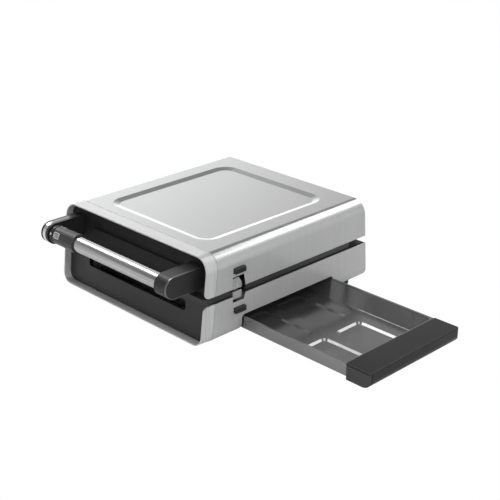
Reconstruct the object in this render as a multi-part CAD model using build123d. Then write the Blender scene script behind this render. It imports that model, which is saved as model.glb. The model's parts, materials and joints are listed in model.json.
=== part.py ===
from build123d import *
import math
import os

# Contact grill with a hinged lid on a floating hinge, lift-out ribbed plates and a drip tray
# that pulls out of the right side. Millimetres. X runs to the right along the handle, Y to the
# back, Z up. The origin is on the surface that the grill stands on, under the middle of its body.
# The pieces lie as they are used after cooking: lid closed, tray pulled out.

# Body
foot_height = 11.0
body_width = 350.0
body_depth = 381.0
base_height = 65.5
seam_height = 12.5
lid_height = 63.4
front_lean = 0.119
rear_lean = 0.074
base_corner = 18.0
lid_corner = 24.0
sheet = 1.0
half = body_width / 2
half_depth = body_depth / 2

# Clearances
piece_gap = 0.3
pin_gap = 0.05
screw_gap = 0.1

# Front bezels and panels
bezel_length = 22.0
bezel_wall = 3.0
bezel_taper = 0.9
leg_corner = 9.0
panel_recess = 12.0
panel_wall = 2.5
panel_lip = 8.0
panel_lip_wall = 2.0
panel_rise = 1.2
slot_end = 54.0
slot_half_length = half - slot_end
slot_low = 40.5
slot_height = 17.5
slot_corner = 5.0
groove_end = 62.0
groove_half_length = half - groove_end
groove_low = 29.5
groove_height = 11.0
groove_depth = 3.8
groove_back = 1.4
groove_stop = 9.0

# Sunk panel on the lid
sunk_side = 52.0
sunk_front_margin = 59.5
sunk_rear_margin = 47.5
sunk_half = half - sunk_side
sunk_front = sunk_front_margin - half_depth
sunk_rear = half_depth - sunk_rear_margin
sunk_corner = 30.0
sunk_depth = 2.6
sunk_bevel = 11.0

# Rims that carry the plates, and the dark strip in the seam
rim_side = 26.0
rim_front_margin = 41.5
rim_rear_margin = 55.5
rim_inner_half = half - rim_side
rim_front = rim_front_margin - half_depth
rim_rear = half_depth - rim_rear_margin
rim_wall = 3.0
rim_skirt = 11.3
rim_flange = 3.0
rim_face_reach = 11.0
rim_face_rear_reach = 13.0
rim_face_front = rim_front - rim_face_reach
rim_face_rear = rim_rear + rim_face_rear_reach
strip_gap = 2.5
strip_height = 9.0
strip_inset = 2.5
strip_wall = 4.5
strip_front_inset = 1.4
strip_front_wall = 12.0
strip_rear = rim_face_rear + 2.0
rim_web = 3.0

# Grill plates
plate_play = 3.0
plate_half = rim_inner_half - plate_play
plate_front = rim_front + plate_play
plate_rear = rim_rear - plate_play
plate_corner = 8.0
plate_floor = 4.0
plate_depth = 14.0
plate_gap = 5.0
plate_wall = 3.5
flange_reach = 12.0
flange_thick = 2.4
rib_pitch = 12.0
rib_foot = 5.2
rib_top = 3.0
rib_margin = 8.0
rib_side_margin = 3.0
rib_below_flange = 0.8
drain_margin = 7.0
drain_x = drain_margin - plate_half
drain_width = 5.0
drain_length = 30.0

# Grip tabs of the plates, in the cut-out of the right side
button_margin = 68.5
button_width = 22.5
button_front = button_margin - half_depth
button_rear = button_front + button_width
tab_front = button_front + 3.0
tab_rear = button_rear - 1.0
tab_inset = 5.0
tab_face = half - tab_inset
tab_thick = 3.0
lower_tab_height = 12.0
upper_tab_height = 18.2
tab_slope = 6.0
tab_foot_inset = 4.0
tab_foot_thick = 2.0
cutout_front = button_front - 2.0
cutout_rear_mid = button_rear + 3.0
cutout_rear_end = button_rear - 0.5
cutout_below = 10.2
cutout_above = 19.5
rim_notch_margin = 2.0

# Release buttons
button_height = 9.0
button_proud = 5.0
lower_button_drop = 23.6
upper_button_rise = 29.8
button_collar = 3.2
button_collar_rim = 1.5
stem_radius = 3.0
latch_leg = 3.0
latch_width = 10.0
latch_tip = 3.0
latch_overlap = 1.5
latch_catch = 2.0
latch_play = 0.4
spring_radius = 4.5
spring_wire = 0.45
spring_turns = 4

# Chassis, reflectors, elements
chassis_wall = 1.5
chassis_edge = 1.0
chassis_depth = 24.7
chassis_flange = 10.0
reflector_wall = 0.8
reflector_depth = 14.0
reflector_inset = 5.5
element_radius = 4.0
element_gap = 0.5
element_inner = 25.0
element_side = 26.0
element_outer = plate_half - element_side
element_middle = (element_inner + element_outer) / 2 + 2.5
element_front_short = plate_front + 46.0
element_front_long = plate_front + 21.0
element_rear = plate_rear - 32.0
element_end = rim_rear + 11.0
element_bend = 20.0
clip_size = 8.0
thermostat_radius = 9.0
thermostat_height = 8.6
thermostat_y = plate_front + 106.0
fuse_radius = 2.5
fuse_length = 18.0
fuse_y = plate_rear - 20.0
post_size = 12.0
post_x = rim_inner_half - 2.0
front_post_y = rim_front - 8.0
front_post_depth = 14.0
front_post_height = 50.0
rear_post_y = rim_rear - 11.0

# Tray and its rails
tray_end_margin = 17.0
tray_handle_reach = 46.8
tray_pull = 258.0
tray_inner_end = tray_pull + tray_end_margin - half
tray_outer_end = tray_pull + half - tray_handle_reach - 0.2
tray_length = tray_outer_end - tray_inner_end
tray_body_margin = 88.0
tray_half_width = half_depth - tray_body_margin
tray_wall = 1.2
tray_bottom = 12.3
tray_rim = 37.0
tray_hem = 2.8
tray_hem_height = 1.4
tray_slope_foot = tray_half_width - 26.5
tray_slope_head = tray_half_width - 3.0
tray_slope_top = 35.6
tray_end_corner = 9.0
pan_drop = 2.5
pan_bevel = 4.0
pan_corner = 9.0
pan_width = tray_half_width - 44.5
pan_side = 10.5
pan_near = pan_side - tray_half_width
pan_row_gap = 22.0
pan_far = pan_near + pan_width + pan_row_gap
pan_channel = 20.0
pan_end = 19.0
pan_inner_end = 52.0
pan_outer_length = 0.295 * tray_length
pan_outer_start = tray_outer_end - pan_end - pan_outer_length
pan_inner_start = tray_inner_end + pan_inner_end
pan_columns = (
    (pan_outer_start, pan_outer_start + pan_outer_length),
    (pan_inner_start, pan_outer_start - pan_channel),
)
opening_half = tray_half_width + 2.5
opening_top = 40.0
opening_corner = 6.0
opening_floor_cut = half - tray_handle_reach - 4.2
rail_web_y = tray_half_width + 0.5
rail_wall = 1.2
rail_lip = 4.0
rail_foot = 11.0
rail_top = 39.1
rail_end_margin = 19.0
rail_inner_end = rail_end_margin - half
tray_handle_top = 38.5
tray_handle_edge = 2.0
tray_handle_round = 17.0
tray_handle_corner = 5.0
tray_handle_wall = 3.0
tray_handle_groove = 1.3
tray_handle_groove_drop = 2.4
handle_boss_radius = 4.5
handle_screw_y = tray_half_width - 42.5

# Feet, gland, screws
foot_radius = 10.0
front_foot_side = 46.0
front_foot_end = 32.5
rear_foot_side = 26.0
rear_foot_end = 30.5
front_foot_x = half - front_foot_side
front_foot_y = front_foot_end - half_depth
rear_foot_x = half - rear_foot_side
rear_foot_y = half_depth - rear_foot_end
foot_chamfer = 1.5
foot_recess = 4.3
foot_recess_depth = 6.0
foot_screw_length = 18.0
arm_screw_length = 18.0
cover_screw_short = 6.0
cover_screw_length = 14.0
leaf_screw_length = 13.0
leaf_screw_head = 2.9
screw_hole_spare = 2.0
screw_radius = 2.0
screw_head = 3.8
screw_head_height = 2.5
cover_screw_radius = 1.6
cover_screw_head = 3.2
cover_screw_side = 85.0
cover_screw_x = half - cover_screw_side
gland_end = 52.5
gland_y = half_depth - gland_end
gland_z = 38.0
gland_bore = 4.0
gland_neck = 7.0
gland_flange = 10.0
gland_body = 9.0
gland_proud = 2.0
gland_depth = 12.0

# Terminal block and wiring
wire_radius = 1.3
wire_bend = 4.0
wire_pitch = 1.6
terminal_side = 39.0
terminal_end = 58.5
terminal_length = 36.0
terminal_width = 14.0
terminal_height = 14.0
terminal_hole = 2.2
terminal_pitch = 12.0
terminal_margin = 6.0
lid_wire_side = 14.0
lid_wire_front = 32.5
lid_wire_rear = 34.5

# Rear covers
cover_inset = 0.5
cover_wall = 2.5
cover_deck_front = rim_face_rear + 2.0
cover_vent_width = 3.0
cover_vent_pitch = 9.0
cover_vent_count = 17
cover_vent_margin = 16.0

# Floating hinge
hinge_inset = 3.0
hinge_y = half_depth - hinge_inset
knuckle_radius = 5.5
hinge_pin_radius = 2.5
hinge_side = 45.0
arm_inner = half - hinge_side
arm_width = 12.0
leaf_width = 12.0
hinge_post_front = hinge_y - 29.5
hinge_post_depth = 10.0
hinge_post_low = 30.0
hinge_lift = 18.0
hinge_bar_thick = 9.1
leaf_rise = 29.0
leaf_thick = 6.0
link_radius = 4.0
link_z = 36.0
guide_wall = 2.7
guide_top = 70.0
guide_foot_height = 8.0

# Handle
handle_reach = 32.0
handle_y = -half_depth - handle_reach
handle_rise = 106.2
arm_side = 19.0
arm_outer = half - arm_side
nose_radius = 17.8
right_arm_width = 27.0
left_arm_width = 17.0
right_arm_inner = arm_outer - right_arm_width
left_arm_inner = arm_outer - left_arm_width
left_neck = 3.0
left_neck_radius = 13.4
pointer_ring = 5.5
dial_radius = 15.3
dial_length = 30.0
dial_neck = 13.6
cap_radius = 16.0
controls_length = 80.0
tube_left = controls_length - arm_outer
tube_radius = 13.0
tube_wall = 1.5
core_radius = 5.0
core_bore = 3.5
sleeve_radius = 7.5
switch_radius = 12.0
switch_length = 17.0
spigot_length = 6.0
trim_thick = 1.2
right_trim_width = 2.5
left_trim_outer = 4.5
left_trim_inner = 5.5

# Places worked out from the sizes above
base_low = foot_height
base_top = base_low + base_height
lid_low = base_top + seam_height
lid_top = lid_low + lid_height
seam_mid = (base_top + lid_low) / 2
handle_z = base_low + handle_rise
plate_top = seam_mid - plate_gap / 2 - 0.25
flange_low = plate_top - flange_thick
plate_low = plate_top - plate_depth
rim_top = flange_low - piece_gap
floor_top = base_low + sheet
strip_low = base_top + strip_gap
strip_high = strip_low + strip_height
lower_button_z = base_top - lower_button_drop
upper_button_z = lid_low + upper_button_rise
handle_face = tray_pull + half
rib_side = plate_half - plate_wall - rib_side_margin - rib_foot / 2
rib_count = 2 * int(rib_side / rib_pitch) + 1
panel_back = panel_recess + panel_wall + panel_lip
wide = body_width

os.makedirs("parts", exist_ok=True)


def front_y(z):
    """Front plane of the body at a height."""
    return -body_depth / 2 + front_lean * (z - base_low)


def rear_y(z):
    """Rear plane of the body at a height."""
    return body_depth / 2 - rear_lean * (z - base_low)


def outline(points, radii):
    return make_face(FilletPolyline(*points, radius=radii, close=True))


def side_prism(points, radii, x):
    """Prism along X of an outline given as (y, z)."""
    plane = Plane(origin=(x[0], 0, 0), x_dir=(0, 1, 0), z_dir=(1, 0, 0))
    return extrude(plane * outline(points, radii), amount=x[1] - x[0])


def front_prism(points, radii, y):
    """Prism along Y of an outline given as (x, z)."""
    plane = Plane(origin=(0, y[1], 0), x_dir=(1, 0, 0), z_dir=(0, -1, 0))
    return extrude(plane * outline(points, radii), amount=y[1] - y[0])


def block(x, y, z):
    centre = Pos((x[0] + x[1]) / 2, (y[0] + y[1]) / 2, (z[0] + z[1]) / 2)
    return centre * Box(x[1] - x[0], y[1] - y[0], z[1] - z[0])


def rounded_block(x, y, z, radius):
    """Upright block with rounded corners in plan."""
    sketch = RectangleRounded(x[1] - x[0], y[1] - y[0], radius)
    centre = Pos((x[0] + x[1]) / 2, (y[0] + y[1]) / 2, z[0])
    return extrude(centre * sketch, amount=z[1] - z[0])


def ring(x_half, y, z, wall, corner):
    """Upright rectangular ring, its outer size given."""
    outer = rounded_block((-x_half, x_half), y, z, corner)
    inner_half = x_half - wall
    inner_y = (y[0] + wall, y[1] - wall)
    inner_z = (z[0] - 1, z[1] + 1)
    inner_corner = max(corner - wall, 1.0)
    return outer - rounded_block((-inner_half, inner_half), inner_y, inner_z, inner_corner)


def rod_x(radius, x, y, z):
    return Pos((x[0] + x[1]) / 2, y, z) * Rot(0, 90, 0) * Cylinder(radius, x[1] - x[0])


def rod_y(radius, x, y, z):
    return Pos(x, (y[0] + y[1]) / 2, z) * Rot(90, 0, 0) * Cylinder(radius, y[1] - y[0])


def rod_z(radius, x, y, z):
    return Pos(x, y, (z[0] + z[1]) / 2) * Cylinder(radius, z[1] - z[0])


def frustum(low, high, z):
    """Loft between two rounded rectangles, each (x0, x1, y0, y1, radius)."""
    faces = []
    for (x0, x1, y0, y1, radius), level in ((low, z[0]), (high, z[1])):
        sketch = RectangleRounded(x1 - x0, y1 - y0, radius)
        faces.append(Pos((x0 + x1) / 2, (y0 + y1) / 2, level) * sketch)
    return loft(Sketch() + faces, ruled=True)


def channel(half_width, closed_z, open_z, corner, y=(-250.0, 250.0)):
    """Bar along Y, rounded at its closed side."""
    points = [(-half_width, open_z), (-half_width, closed_z)]
    points += [(half_width, closed_z), (half_width, open_z)]
    return front_prism(points, [0, corner, corner, 0], y)


def channel_face(half_width, closed_z, open_z, corner, y):
    points = [(-half_width, open_z), (-half_width, closed_z)]
    points += [(half_width, closed_z), (half_width, open_z)]
    plane = Plane(origin=(0, y, 0), x_dir=(1, 0, 0), z_dir=(0, -1, 0))
    return plane * outline(points, [0, corner, corner, 0])


def body_block(front_set, rear_set, z):
    """Everything between the leaning front and rear planes, each moved inwards."""
    points = [(front_y(z[0]) + front_set, z[0]), (rear_y(z[0]) - rear_set, z[0])]
    points += [(rear_y(z[1]) - rear_set, z[1]), (front_y(z[1]) + front_set, z[1])]
    return side_prism(points, [0, 0, 0, 0], (-wide, wide))


def front_band(near, far, z, low_corner=0.0, high_corner=0.0):
    """Slice that follows the leaning front, from near to far behind it."""
    points = [(front_y(z[0]) + near, z[0]), (front_y(z[0]) + far, z[0])]
    points += [(front_y(z[1]) + far, z[1]), (front_y(z[1]) + near, z[1])]
    return side_prism(points, [low_corner, 0, 0, high_corner], (-wide, wide))


def rear_band(near, far, z):
    """Slice that follows the leaning rear, from near to far in front of it."""
    points = [(rear_y(z[0]) - far, z[0]), (rear_y(z[0]) - near, z[0])]
    points += [(rear_y(z[1]) - near, z[1]), (rear_y(z[1]) - far, z[1])]
    return side_prism(points, [0, 0, 0, 0], (-wide, wide))


def mirror_lid(shape):
    """Copy of a base piece turned over into the lid, about the middle of the seam."""
    return mirror(shape, about=Plane.XY.offset(seam_mid))


def both_sides(shape):
    return [shape, mirror(shape, about=Plane.YZ)]


def tube_along(points, radius, bend):
    path = FilletPolyline(*points, radius=bend)
    start = Plane(origin=path @ 0, z_dir=path % 0)
    return sweep(start * Circle(radius), path=path)


def save(name, shapes):
    if isinstance(shapes, list):
        shapes = Compound(children=[solid for shape in shapes for solid in shape.solids()])
    export_step(shapes, f"parts/{name}.step")


# Cut-out for the plates' grip tabs, shared by both housings and rims
cutout_points = [(cutout_front, base_top - cutout_below), (cutout_rear_end, base_top - cutout_below)]
cutout_points += [(cutout_rear_mid, base_top), (cutout_rear_mid, lid_low)]
cutout_points += [(cutout_rear_end, lid_low + cutout_above), (cutout_front, lid_low + cutout_above)]
tab_cutout = side_prism(cutout_points, [1.5, 1.5, 0, 0, 1.5, 1.5], (half - 8, half + 8))
rim_notch = block(
    (rim_inner_half - 1, half + 1),
    (cutout_front - rim_notch_margin, cutout_rear_mid + rim_notch_margin),
    (base_low, lid_top),
)


def button_hole(z):
    y = (button_front - piece_gap, button_rear + piece_gap)
    low = z - button_height / 2 - piece_gap
    high = z + button_height / 2 + piece_gap
    return block((half - 5, half + 5), y, (low, high))


foot_places = [
    (side * x, y) for x, y in ((front_foot_x, front_foot_y), (rear_foot_x, rear_foot_y)) for side in (-1, 1)
]
panel_screw_y = front_y(base_low) + panel_recess + panel_wall + panel_lip / 2
rear_flange_y = rear_y(base_low) - cover_inset - cover_wall - 10
cover_screw_places = [
    (x, y) for x in (-cover_screw_x, 0.0, cover_screw_x) for y in (panel_screw_y, rear_flange_y)
]


def foot_screw_holes(z):
    holes = [rod_z(screw_radius + screw_gap, x, y, z) for x, y in foot_places]
    return holes


def cover_screw_holes(z):
    return [rod_z(cover_screw_radius + screw_gap, x, y, z) for x, y in cover_screw_places]


# Base housing: one folded sheet, bottom and two sides
housing = channel(half, base_low, base_top, base_corner)
housing -= channel(half - sheet, floor_top, base_top + 5, base_corner - sheet)
housing &= body_block(bezel_length + piece_gap, 0, (base_low - 1, base_top))
housing -= side_prism(
    [
        (-opening_half, base_low - 5),
        (opening_half, base_low - 5),
        (opening_half, opening_top),
        (-opening_half, opening_top),
    ],
    [0, 0, opening_corner, opening_corner],
    (opening_floor_cut, half + 5),
)
housing -= tab_cutout
housing -= button_hole(lower_button_z)
housing -= rod_x(gland_neck + piece_gap, (-half - 5, -half + 5), gland_y, gland_z)
housing -= foot_screw_holes((base_low - 1, floor_top + 1))
housing -= cover_screw_holes((base_low - 1, floor_top + 1))
save("base_housing", housing)

# Lid housing: the same sheet upside down, its top pressed into a shallow sunk panel
sunk_low_half = sunk_half - sunk_bevel
sunk_rim = (-sunk_half, sunk_half, sunk_front, sunk_rear, sunk_corner)
sunk_floor = (
    -sunk_low_half,
    sunk_low_half,
    sunk_front + sunk_bevel,
    sunk_rear - sunk_bevel,
    sunk_corner - sunk_bevel,
)
cover = channel(half, lid_top, lid_low, lid_corner)
cover -= channel(half - sheet, lid_top - sheet, lid_low - 5, lid_corner - sheet)
cover &= body_block(bezel_length + piece_gap, 0, (lid_low, lid_top + 1))
cover += frustum(sunk_floor, sunk_rim, (lid_top - sheet - sunk_depth, lid_top - sheet))
cover -= frustum(sunk_floor, sunk_rim, (lid_top - sunk_depth, lid_top))
cover -= tab_cutout
cover -= button_hole(upper_button_z)
save("lid_housing", cover)


def bezel(closed_z, open_z, corner, low_corner, high_corner):
    """U-shaped frame at the front, its outside narrowing a little towards the front."""
    y_near = -body_depth / 2 - 1
    y_far = front_y(lid_top) + bezel_length + 1
    toward = 1 if open_z > closed_z else -1
    near_z = closed_z + toward * bezel_taper
    far = channel_face(half, closed_z, open_z, corner, y_far)
    near = channel_face(half - bezel_taper, near_z, open_z, corner, y_near)
    frame = loft(Sketch() + [near, far], ruled=True)
    inner_z = closed_z + toward * bezel_wall
    frame -= channel(half - bezel_wall, inner_z, open_z + toward * 5, corner - bezel_wall)
    z = (min(closed_z, open_z), max(closed_z, open_z))
    return frame & front_band(0, bezel_length, z, low_corner, high_corner)


base_bezel = bezel(base_low, base_top, base_corner, 0, leg_corner)
base_bezel -= cover_screw_holes((base_low - 1, base_low + bezel_wall + 1))
save("base_front_bezel", base_bezel)
save("lid_front_bezel", bezel(lid_top, lid_low, lid_corner, leg_corner, 0))


def front_panel(closed_z, open_z, corner):
    """Plastic front behind a bezel, with a lip turned back round its closed sides."""
    toward = 1 if open_z > closed_z else -1
    set_in = bezel_wall + piece_gap
    outer_half = half - set_in
    outer_z = closed_z + toward * set_in
    z = (min(closed_z, open_z) - 1, max(closed_z, open_z) + 1)
    outer = channel(outer_half, outer_z, open_z, corner - set_in)
    lip_corner = corner - set_in - panel_lip_wall
    lip_z = outer_z + toward * panel_lip_wall
    inner = channel(outer_half - panel_lip_wall, lip_z, open_z + toward, lip_corner)
    back = panel_recess + panel_wall
    plate = outer & front_band(panel_recess, back, z)
    lip = (outer - inner) & front_band(back - 0.01, back + panel_lip, z)
    return plate + lip


def panel_window(half_length, z, near, far, corner):
    """Long hole through a front panel, square to the panel's lean."""
    points = [(-half_length, z[0]), (half_length, z[0]), (half_length, z[1]), (-half_length, z[1])]
    hole = front_prism(points, [corner] * 4, (-wide, 0))
    return hole & front_band(near, far, (z[0] - 1, z[1] + 1))


slot_z = (base_low + slot_low, base_low + slot_low + slot_height)
base_panel = front_panel(base_low, base_top + panel_rise, base_corner)
base_panel -= panel_window(slot_half_length, slot_z, 0, 40, slot_corner)
base_panel -= cover_screw_holes((base_low - 1, base_low + 12))
save("base_front_panel", base_panel)

groove_z = (lid_low + groove_low, lid_low + groove_low + groove_height)
groove_floor = panel_recess + groove_depth
lid_panel = front_panel(lid_top, lid_low + piece_gap, lid_corner)
lid_panel += panel_window(
    groove_half_length + 4,
    (groove_z[0] - 4, groove_z[1] + 4),
    panel_recess + 1,
    groove_floor + groove_back,
    4.0,
)
lid_panel -= panel_window(groove_half_length, groove_z, 0, groove_floor, 1.5)
stop_x = (-groove_half_length + 1, -groove_half_length + 1 + groove_stop)
lid_panel += (
    block(stop_x, (-wide, 0), (groove_z[0] + 2.5, groove_z[1] - 1))
    & front_band(panel_recess + 1.2, groove_floor + 0.5, groove_z)
)

# Handle screw holes in the lid panel follow further down, with the handle arms


def rim(skirt_low, top):
    """Plastic frame of a plate: inner skirt under a flat flange."""
    flange = rounded_block(
        (-half + sheet + piece_gap, half - sheet - piece_gap),
        (rim_face_front, rim_face_rear),
        (top - rim_flange, top),
        4.0,
    )
    outer_skirt = rounded_block(
        (-half + sheet + piece_gap, half - sheet - piece_gap),
        (rim_face_front, rim_face_rear),
        (skirt_low + 4, top),
        4.0,
    )
    outer_skirt -= rounded_block(
        (-half + sheet + piece_gap + rim_web, half - sheet - piece_gap - rim_web),
        (rim_face_front + rim_web, rim_face_rear - rim_web),
        (skirt_low, top - rim_flange),
        3.0,
    )
    inner = rounded_block(
        (-rim_inner_half - rim_wall, rim_inner_half + rim_wall),
        (rim_front - rim_wall, rim_rear + rim_wall),
        (skirt_low, top),
        plate_corner + rim_wall,
    )
    opening = rounded_block(
        (-rim_inner_half, rim_inner_half),
        (rim_front, rim_rear),
        (skirt_low - 1, top + 1),
        plate_corner + 2,
    )
    return flange + outer_skirt + inner - opening - rim_notch


save("base_rim", rim(rim_top - rim_skirt, rim_top))

# The lid's rim is the same frame turned over, with the strip that shows in the seam
strip_half = half - strip_inset
strip_front = front_y(strip_high) + strip_front_inset
strip = rounded_block((-strip_half, strip_half), (strip_front, strip_rear), (strip_low, strip_high), 7.0)
strip -= rounded_block(
    (-strip_half + strip_wall, strip_half - strip_wall),
    (strip_front + strip_front_wall, strip_rear + 20),
    (strip_low - 1, strip_high + 1),
    3.0,
)
lid_rim = mirror_lid(rim(rim_top - rim_skirt, rim_top))
lid_rim &= body_block(panel_back + piece_gap, 0, (strip_low, lid_top))
lid_rim &= block((-half + bezel_wall + 0.4, half - bezel_wall - 0.4), (-wide, wide), (0, lid_top))
carrier_y = (rim_face_front + 2.2, rim_face_rear - 1.0)
carrier = block((strip_half - strip_wall, half - bezel_wall - 0.4), carrier_y, (strip_high - 2, lid_low + 2))
carrier += mirror(carrier, about=Plane.YZ)
web_half = strip_half - 12
web_front = rim_face_front - 6
lid_rim_low = 2 * seam_mid - rim_top
strip += block(
    (-web_half, web_half),
    (strip_front + strip_front_wall - 2, rim_face_front),
    (strip_low + 2, strip_high),
)
strip += block(
    (-web_half, web_half),
    (web_front, rim_face_front),
    (strip_low + 2, lid_rim_low + rim_flange),
)
strip += block(
    (-web_half, web_half),
    (rim_face_front - 0.5, rim_face_front + 3),
    (lid_rim_low, lid_rim_low + rim_flange),
)
lid_rim = lid_rim + carrier + strip
lid_rim -= rim_notch
save("lid_rim", lid_rim)


def chassis():
    """Sheet frame under a plate, with an inward flange that carries the reflector."""
    top = rim_top - rim_skirt - piece_gap
    low = top - chassis_depth
    outer_half = rim_inner_half + chassis_edge
    y = (rim_front - chassis_edge, rim_rear + chassis_edge)
    walls = ring(outer_half, y, (low, top), chassis_wall, 6.0)
    ledge = ring(outer_half, y, (low, low + chassis_wall), chassis_wall + chassis_flange, 6.0)
    frame = walls + ledge
    spout_y = (-drain_length / 2 - 7, drain_length / 2 + 7)
    frame -= block((drain_x - 12, drain_x + 20), spout_y, (low - 1, low + 5))
    for x in (-element_inner, element_inner):
        frame -= rod_y(element_radius + 0.5, x, (rim_rear - 8, rim_rear + 8), element_z)
    return frame, low, top


element_z = plate_low - element_gap - element_radius
frame, chassis_low, chassis_top = chassis()
stem_hole_x = (rim_inner_half - 10, rim_inner_half + 10)
base_frame = frame - rod_x(
    stem_radius + piece_gap, stem_hole_x, (button_front + button_rear) / 2, lower_button_z
)
front_post_z = (floor_top, floor_top + front_post_height)
front_post_span = (front_post_y - front_post_depth / 2, front_post_y + front_post_depth / 2)
front_post_x = (front_foot_x - post_size / 2, front_foot_x + post_size / 2)
front_post = block(front_post_x, front_post_span, front_post_z)
rear_post = block(
    (post_x - post_size / 2 - 4, post_x - post_size / 2 + 8),
    (rear_post_y - post_size / 2, rear_post_y + post_size / 2),
    (floor_top, chassis_low + 0.5),
)
base_frame = base_frame + both_sides(front_post) + both_sides(rear_post)
base_frame -= foot_screw_holes((base_low, foot_screw_length + 8))
save("base_chassis", base_frame)


def release_button(z):
    """Pad outside the housing, collar behind it and a stem that goes into the chassis."""
    y = (button_front, button_rear)
    z_span = (z - button_height / 2, z + button_height / 2)
    inside = half - sheet - piece_gap
    points = [(y[0], z_span[0]), (y[1], z_span[0]), (y[1], z_span[1]), (y[0], z_span[1])]
    pad = side_prism(points, [1.2] * 4, (inside - button_collar, half + button_proud))
    outer_edges = pad.edges().filter_by(Plane.YZ).group_by(Axis.X)[-1]
    pad = fillet(outer_edges, 0.8)
    collar = block(
        (inside - button_collar, inside),
        (y[0] - button_collar_rim, y[1] + button_collar_rim),
        (z_span[0] - button_collar_rim, z_span[1] + button_collar_rim),
    )
    stem = rod_x(stem_radius, (stem_end, inside - button_collar + 0.1), (y[0] + y[1]) / 2, z)
    return pad + collar + stem


stem_end = rim_inner_half + chassis_edge - 1.2
leg_high_x = tab_face - tab_thick - latch_catch - latch_tip + latch_overlap
button_y = (button_front + button_rear) / 2


def release_latch(z, hook):
    """Steel hook on the stem. Its tip lies over the catch of the plate's tab, at height hook."""
    toward = 1 if hook > z else -1
    leg_x = (leg_high_x - latch_leg, leg_high_x)
    tip_x = (leg_high_x, leg_high_x + latch_tip)
    y = (button_y - latch_width / 2, button_y + latch_width / 2)
    far = hook + toward * latch_catch
    leg = block(leg_x, y, (min(z - toward * 6, far), max(z - toward * 6, far)))
    tip = block((tip_x[0] - 0.01, tip_x[1]), y, (min(hook, far), max(hook, far)))
    return leg + tip - rod_x(stem_radius + pin_gap, (leg_x[0] - 1, leg_x[1] + 1), button_y, z)


def release_spring(z):
    """Coil round the stem, between the chassis wall and the latch."""
    start = rim_inner_half + chassis_edge + spring_wire + 0.15
    length = leg_high_x - latch_leg - spring_wire - 0.15 - start
    centre = (start, button_y, z)
    helix = Helix(length / spring_turns, length, spring_radius, center=centre, direction=(1, 0, 0))
    section = Plane(origin=helix @ 0, z_dir=helix % 0) * Circle(spring_wire)
    return sweep(section, path=helix, is_frenet=True)


lower_tab_low = plate_top + 0.5 - lower_tab_height
lower_catch_top = lower_tab_low + latch_catch
upper_tab_high = 2 * seam_mid - plate_top - 0.5 + upper_tab_height
upper_catch_low = upper_tab_high - latch_catch
save("lower_release_button", release_button(lower_button_z))
save("lower_release_latch", release_latch(lower_button_z, lower_catch_top + latch_play))
save("lower_release_spring", release_spring(lower_button_z))
save("upper_release_button", release_button(upper_button_z))
save("upper_release_latch", release_latch(upper_button_z, upper_catch_low - latch_play))
save("upper_release_spring", release_spring(upper_button_z))


def grill_plate():
    """Cast plate: floor, wall, flange and ribs that run front to back."""
    corner = plate_corner
    x = (-plate_half, plate_half)
    y = (plate_front, plate_rear)
    shell = rounded_block(x, y, (plate_low, plate_top), corner)
    inner_x = (-plate_half + plate_wall, plate_half - plate_wall)
    inner_y = (plate_front + plate_wall, plate_rear - plate_wall)
    flange = rounded_block(
        (-plate_half - flange_reach, plate_half + flange_reach),
        (plate_front - flange_reach, plate_rear + flange_reach),
        (flange_low, plate_top),
        corner + 4,
    )
    hollow = rounded_block(inner_x, inner_y, (plate_low + plate_floor, plate_top + 1), corner - 2)
    casting = shell + flange - hollow
    rib_low = plate_low + plate_floor - 0.2
    rib_high = plate_top - rib_below_flange
    rib_y = (plate_front + plate_wall + rib_margin, plate_rear - plate_wall - rib_margin)
    ribs = []
    for number in range(rib_count):
        middle = (number - (rib_count - 1) / 2) * rib_pitch
        points = [(middle - rib_foot / 2, rib_low), (middle + rib_foot / 2, rib_low)]
        points += [(middle + rib_top / 2, rib_high), (middle - rib_top / 2, rib_high)]
        ribs.append(front_prism(points, [0, 0, 0.8, 0.8], rib_y))
    return casting + ribs


def grip_tab(height, slope):
    """Steel tab under the right edge of a plate, with the catch for its latch."""
    high = plate_top + 0.5
    low = high - height
    points = [(tab_front, low), (tab_rear - slope, low)]
    radii = [1.0, 1.0]
    if slope:
        points.append((tab_rear, low + slope * 1.5))
        radii.append(1.0)
    points += [(tab_rear, high), (tab_front, high)]
    radii += [0, 0]
    tab = side_prism(points, radii, (tab_face - tab_thick, tab_face))
    foot_x = (plate_half + tab_foot_inset, tab_face)
    foot_plate = block(foot_x, (tab_front, tab_rear), (flange_low - tab_foot_thick, flange_low))
    catch_x = (tab_face - tab_thick - latch_catch, tab_face - tab_thick + 0.1)
    catch_y = (button_y - latch_width / 2 + 1, button_y + latch_width / 2 - 2)
    return tab + foot_plate + block(catch_x, catch_y, (low, low + latch_catch))


casting = grill_plate()
drain = block(
    (drain_x - drain_width / 2, drain_x + drain_width / 2),
    (-drain_length / 2, drain_length / 2),
    (plate_low - 1, plate_low + plate_floor + 1),
)
save("lower_plate", casting - drain)
save("upper_plate", mirror_lid(casting))
save("lower_plate_tab", grip_tab(lower_tab_height, 0))
save("upper_plate_tab", mirror_lid(grip_tab(upper_tab_height, tab_slope)))


def element():
    points = [(-element_inner, element_end), (-element_inner, element_front_short)]
    points += [(-element_middle, element_front_short), (-element_middle, element_rear)]
    points += [(-element_outer, element_rear), (-element_outer, element_front_long)]
    points += [(-x, y) for x, y in reversed(points)]
    return tube_along([(x, y, element_z) for x, y in points], element_radius, element_bend)


lower_element = element()
save("lower_heating_element", lower_element)
save("upper_heating_element", mirror_lid(lower_element))

reflector_low = chassis_low + chassis_wall + piece_gap
reflector_half = rim_inner_half + chassis_edge - chassis_wall - reflector_inset
reflector_y = (
    rim_front - chassis_edge + chassis_wall + reflector_inset,
    rim_rear + chassis_edge - chassis_wall - reflector_inset,
)


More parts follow.
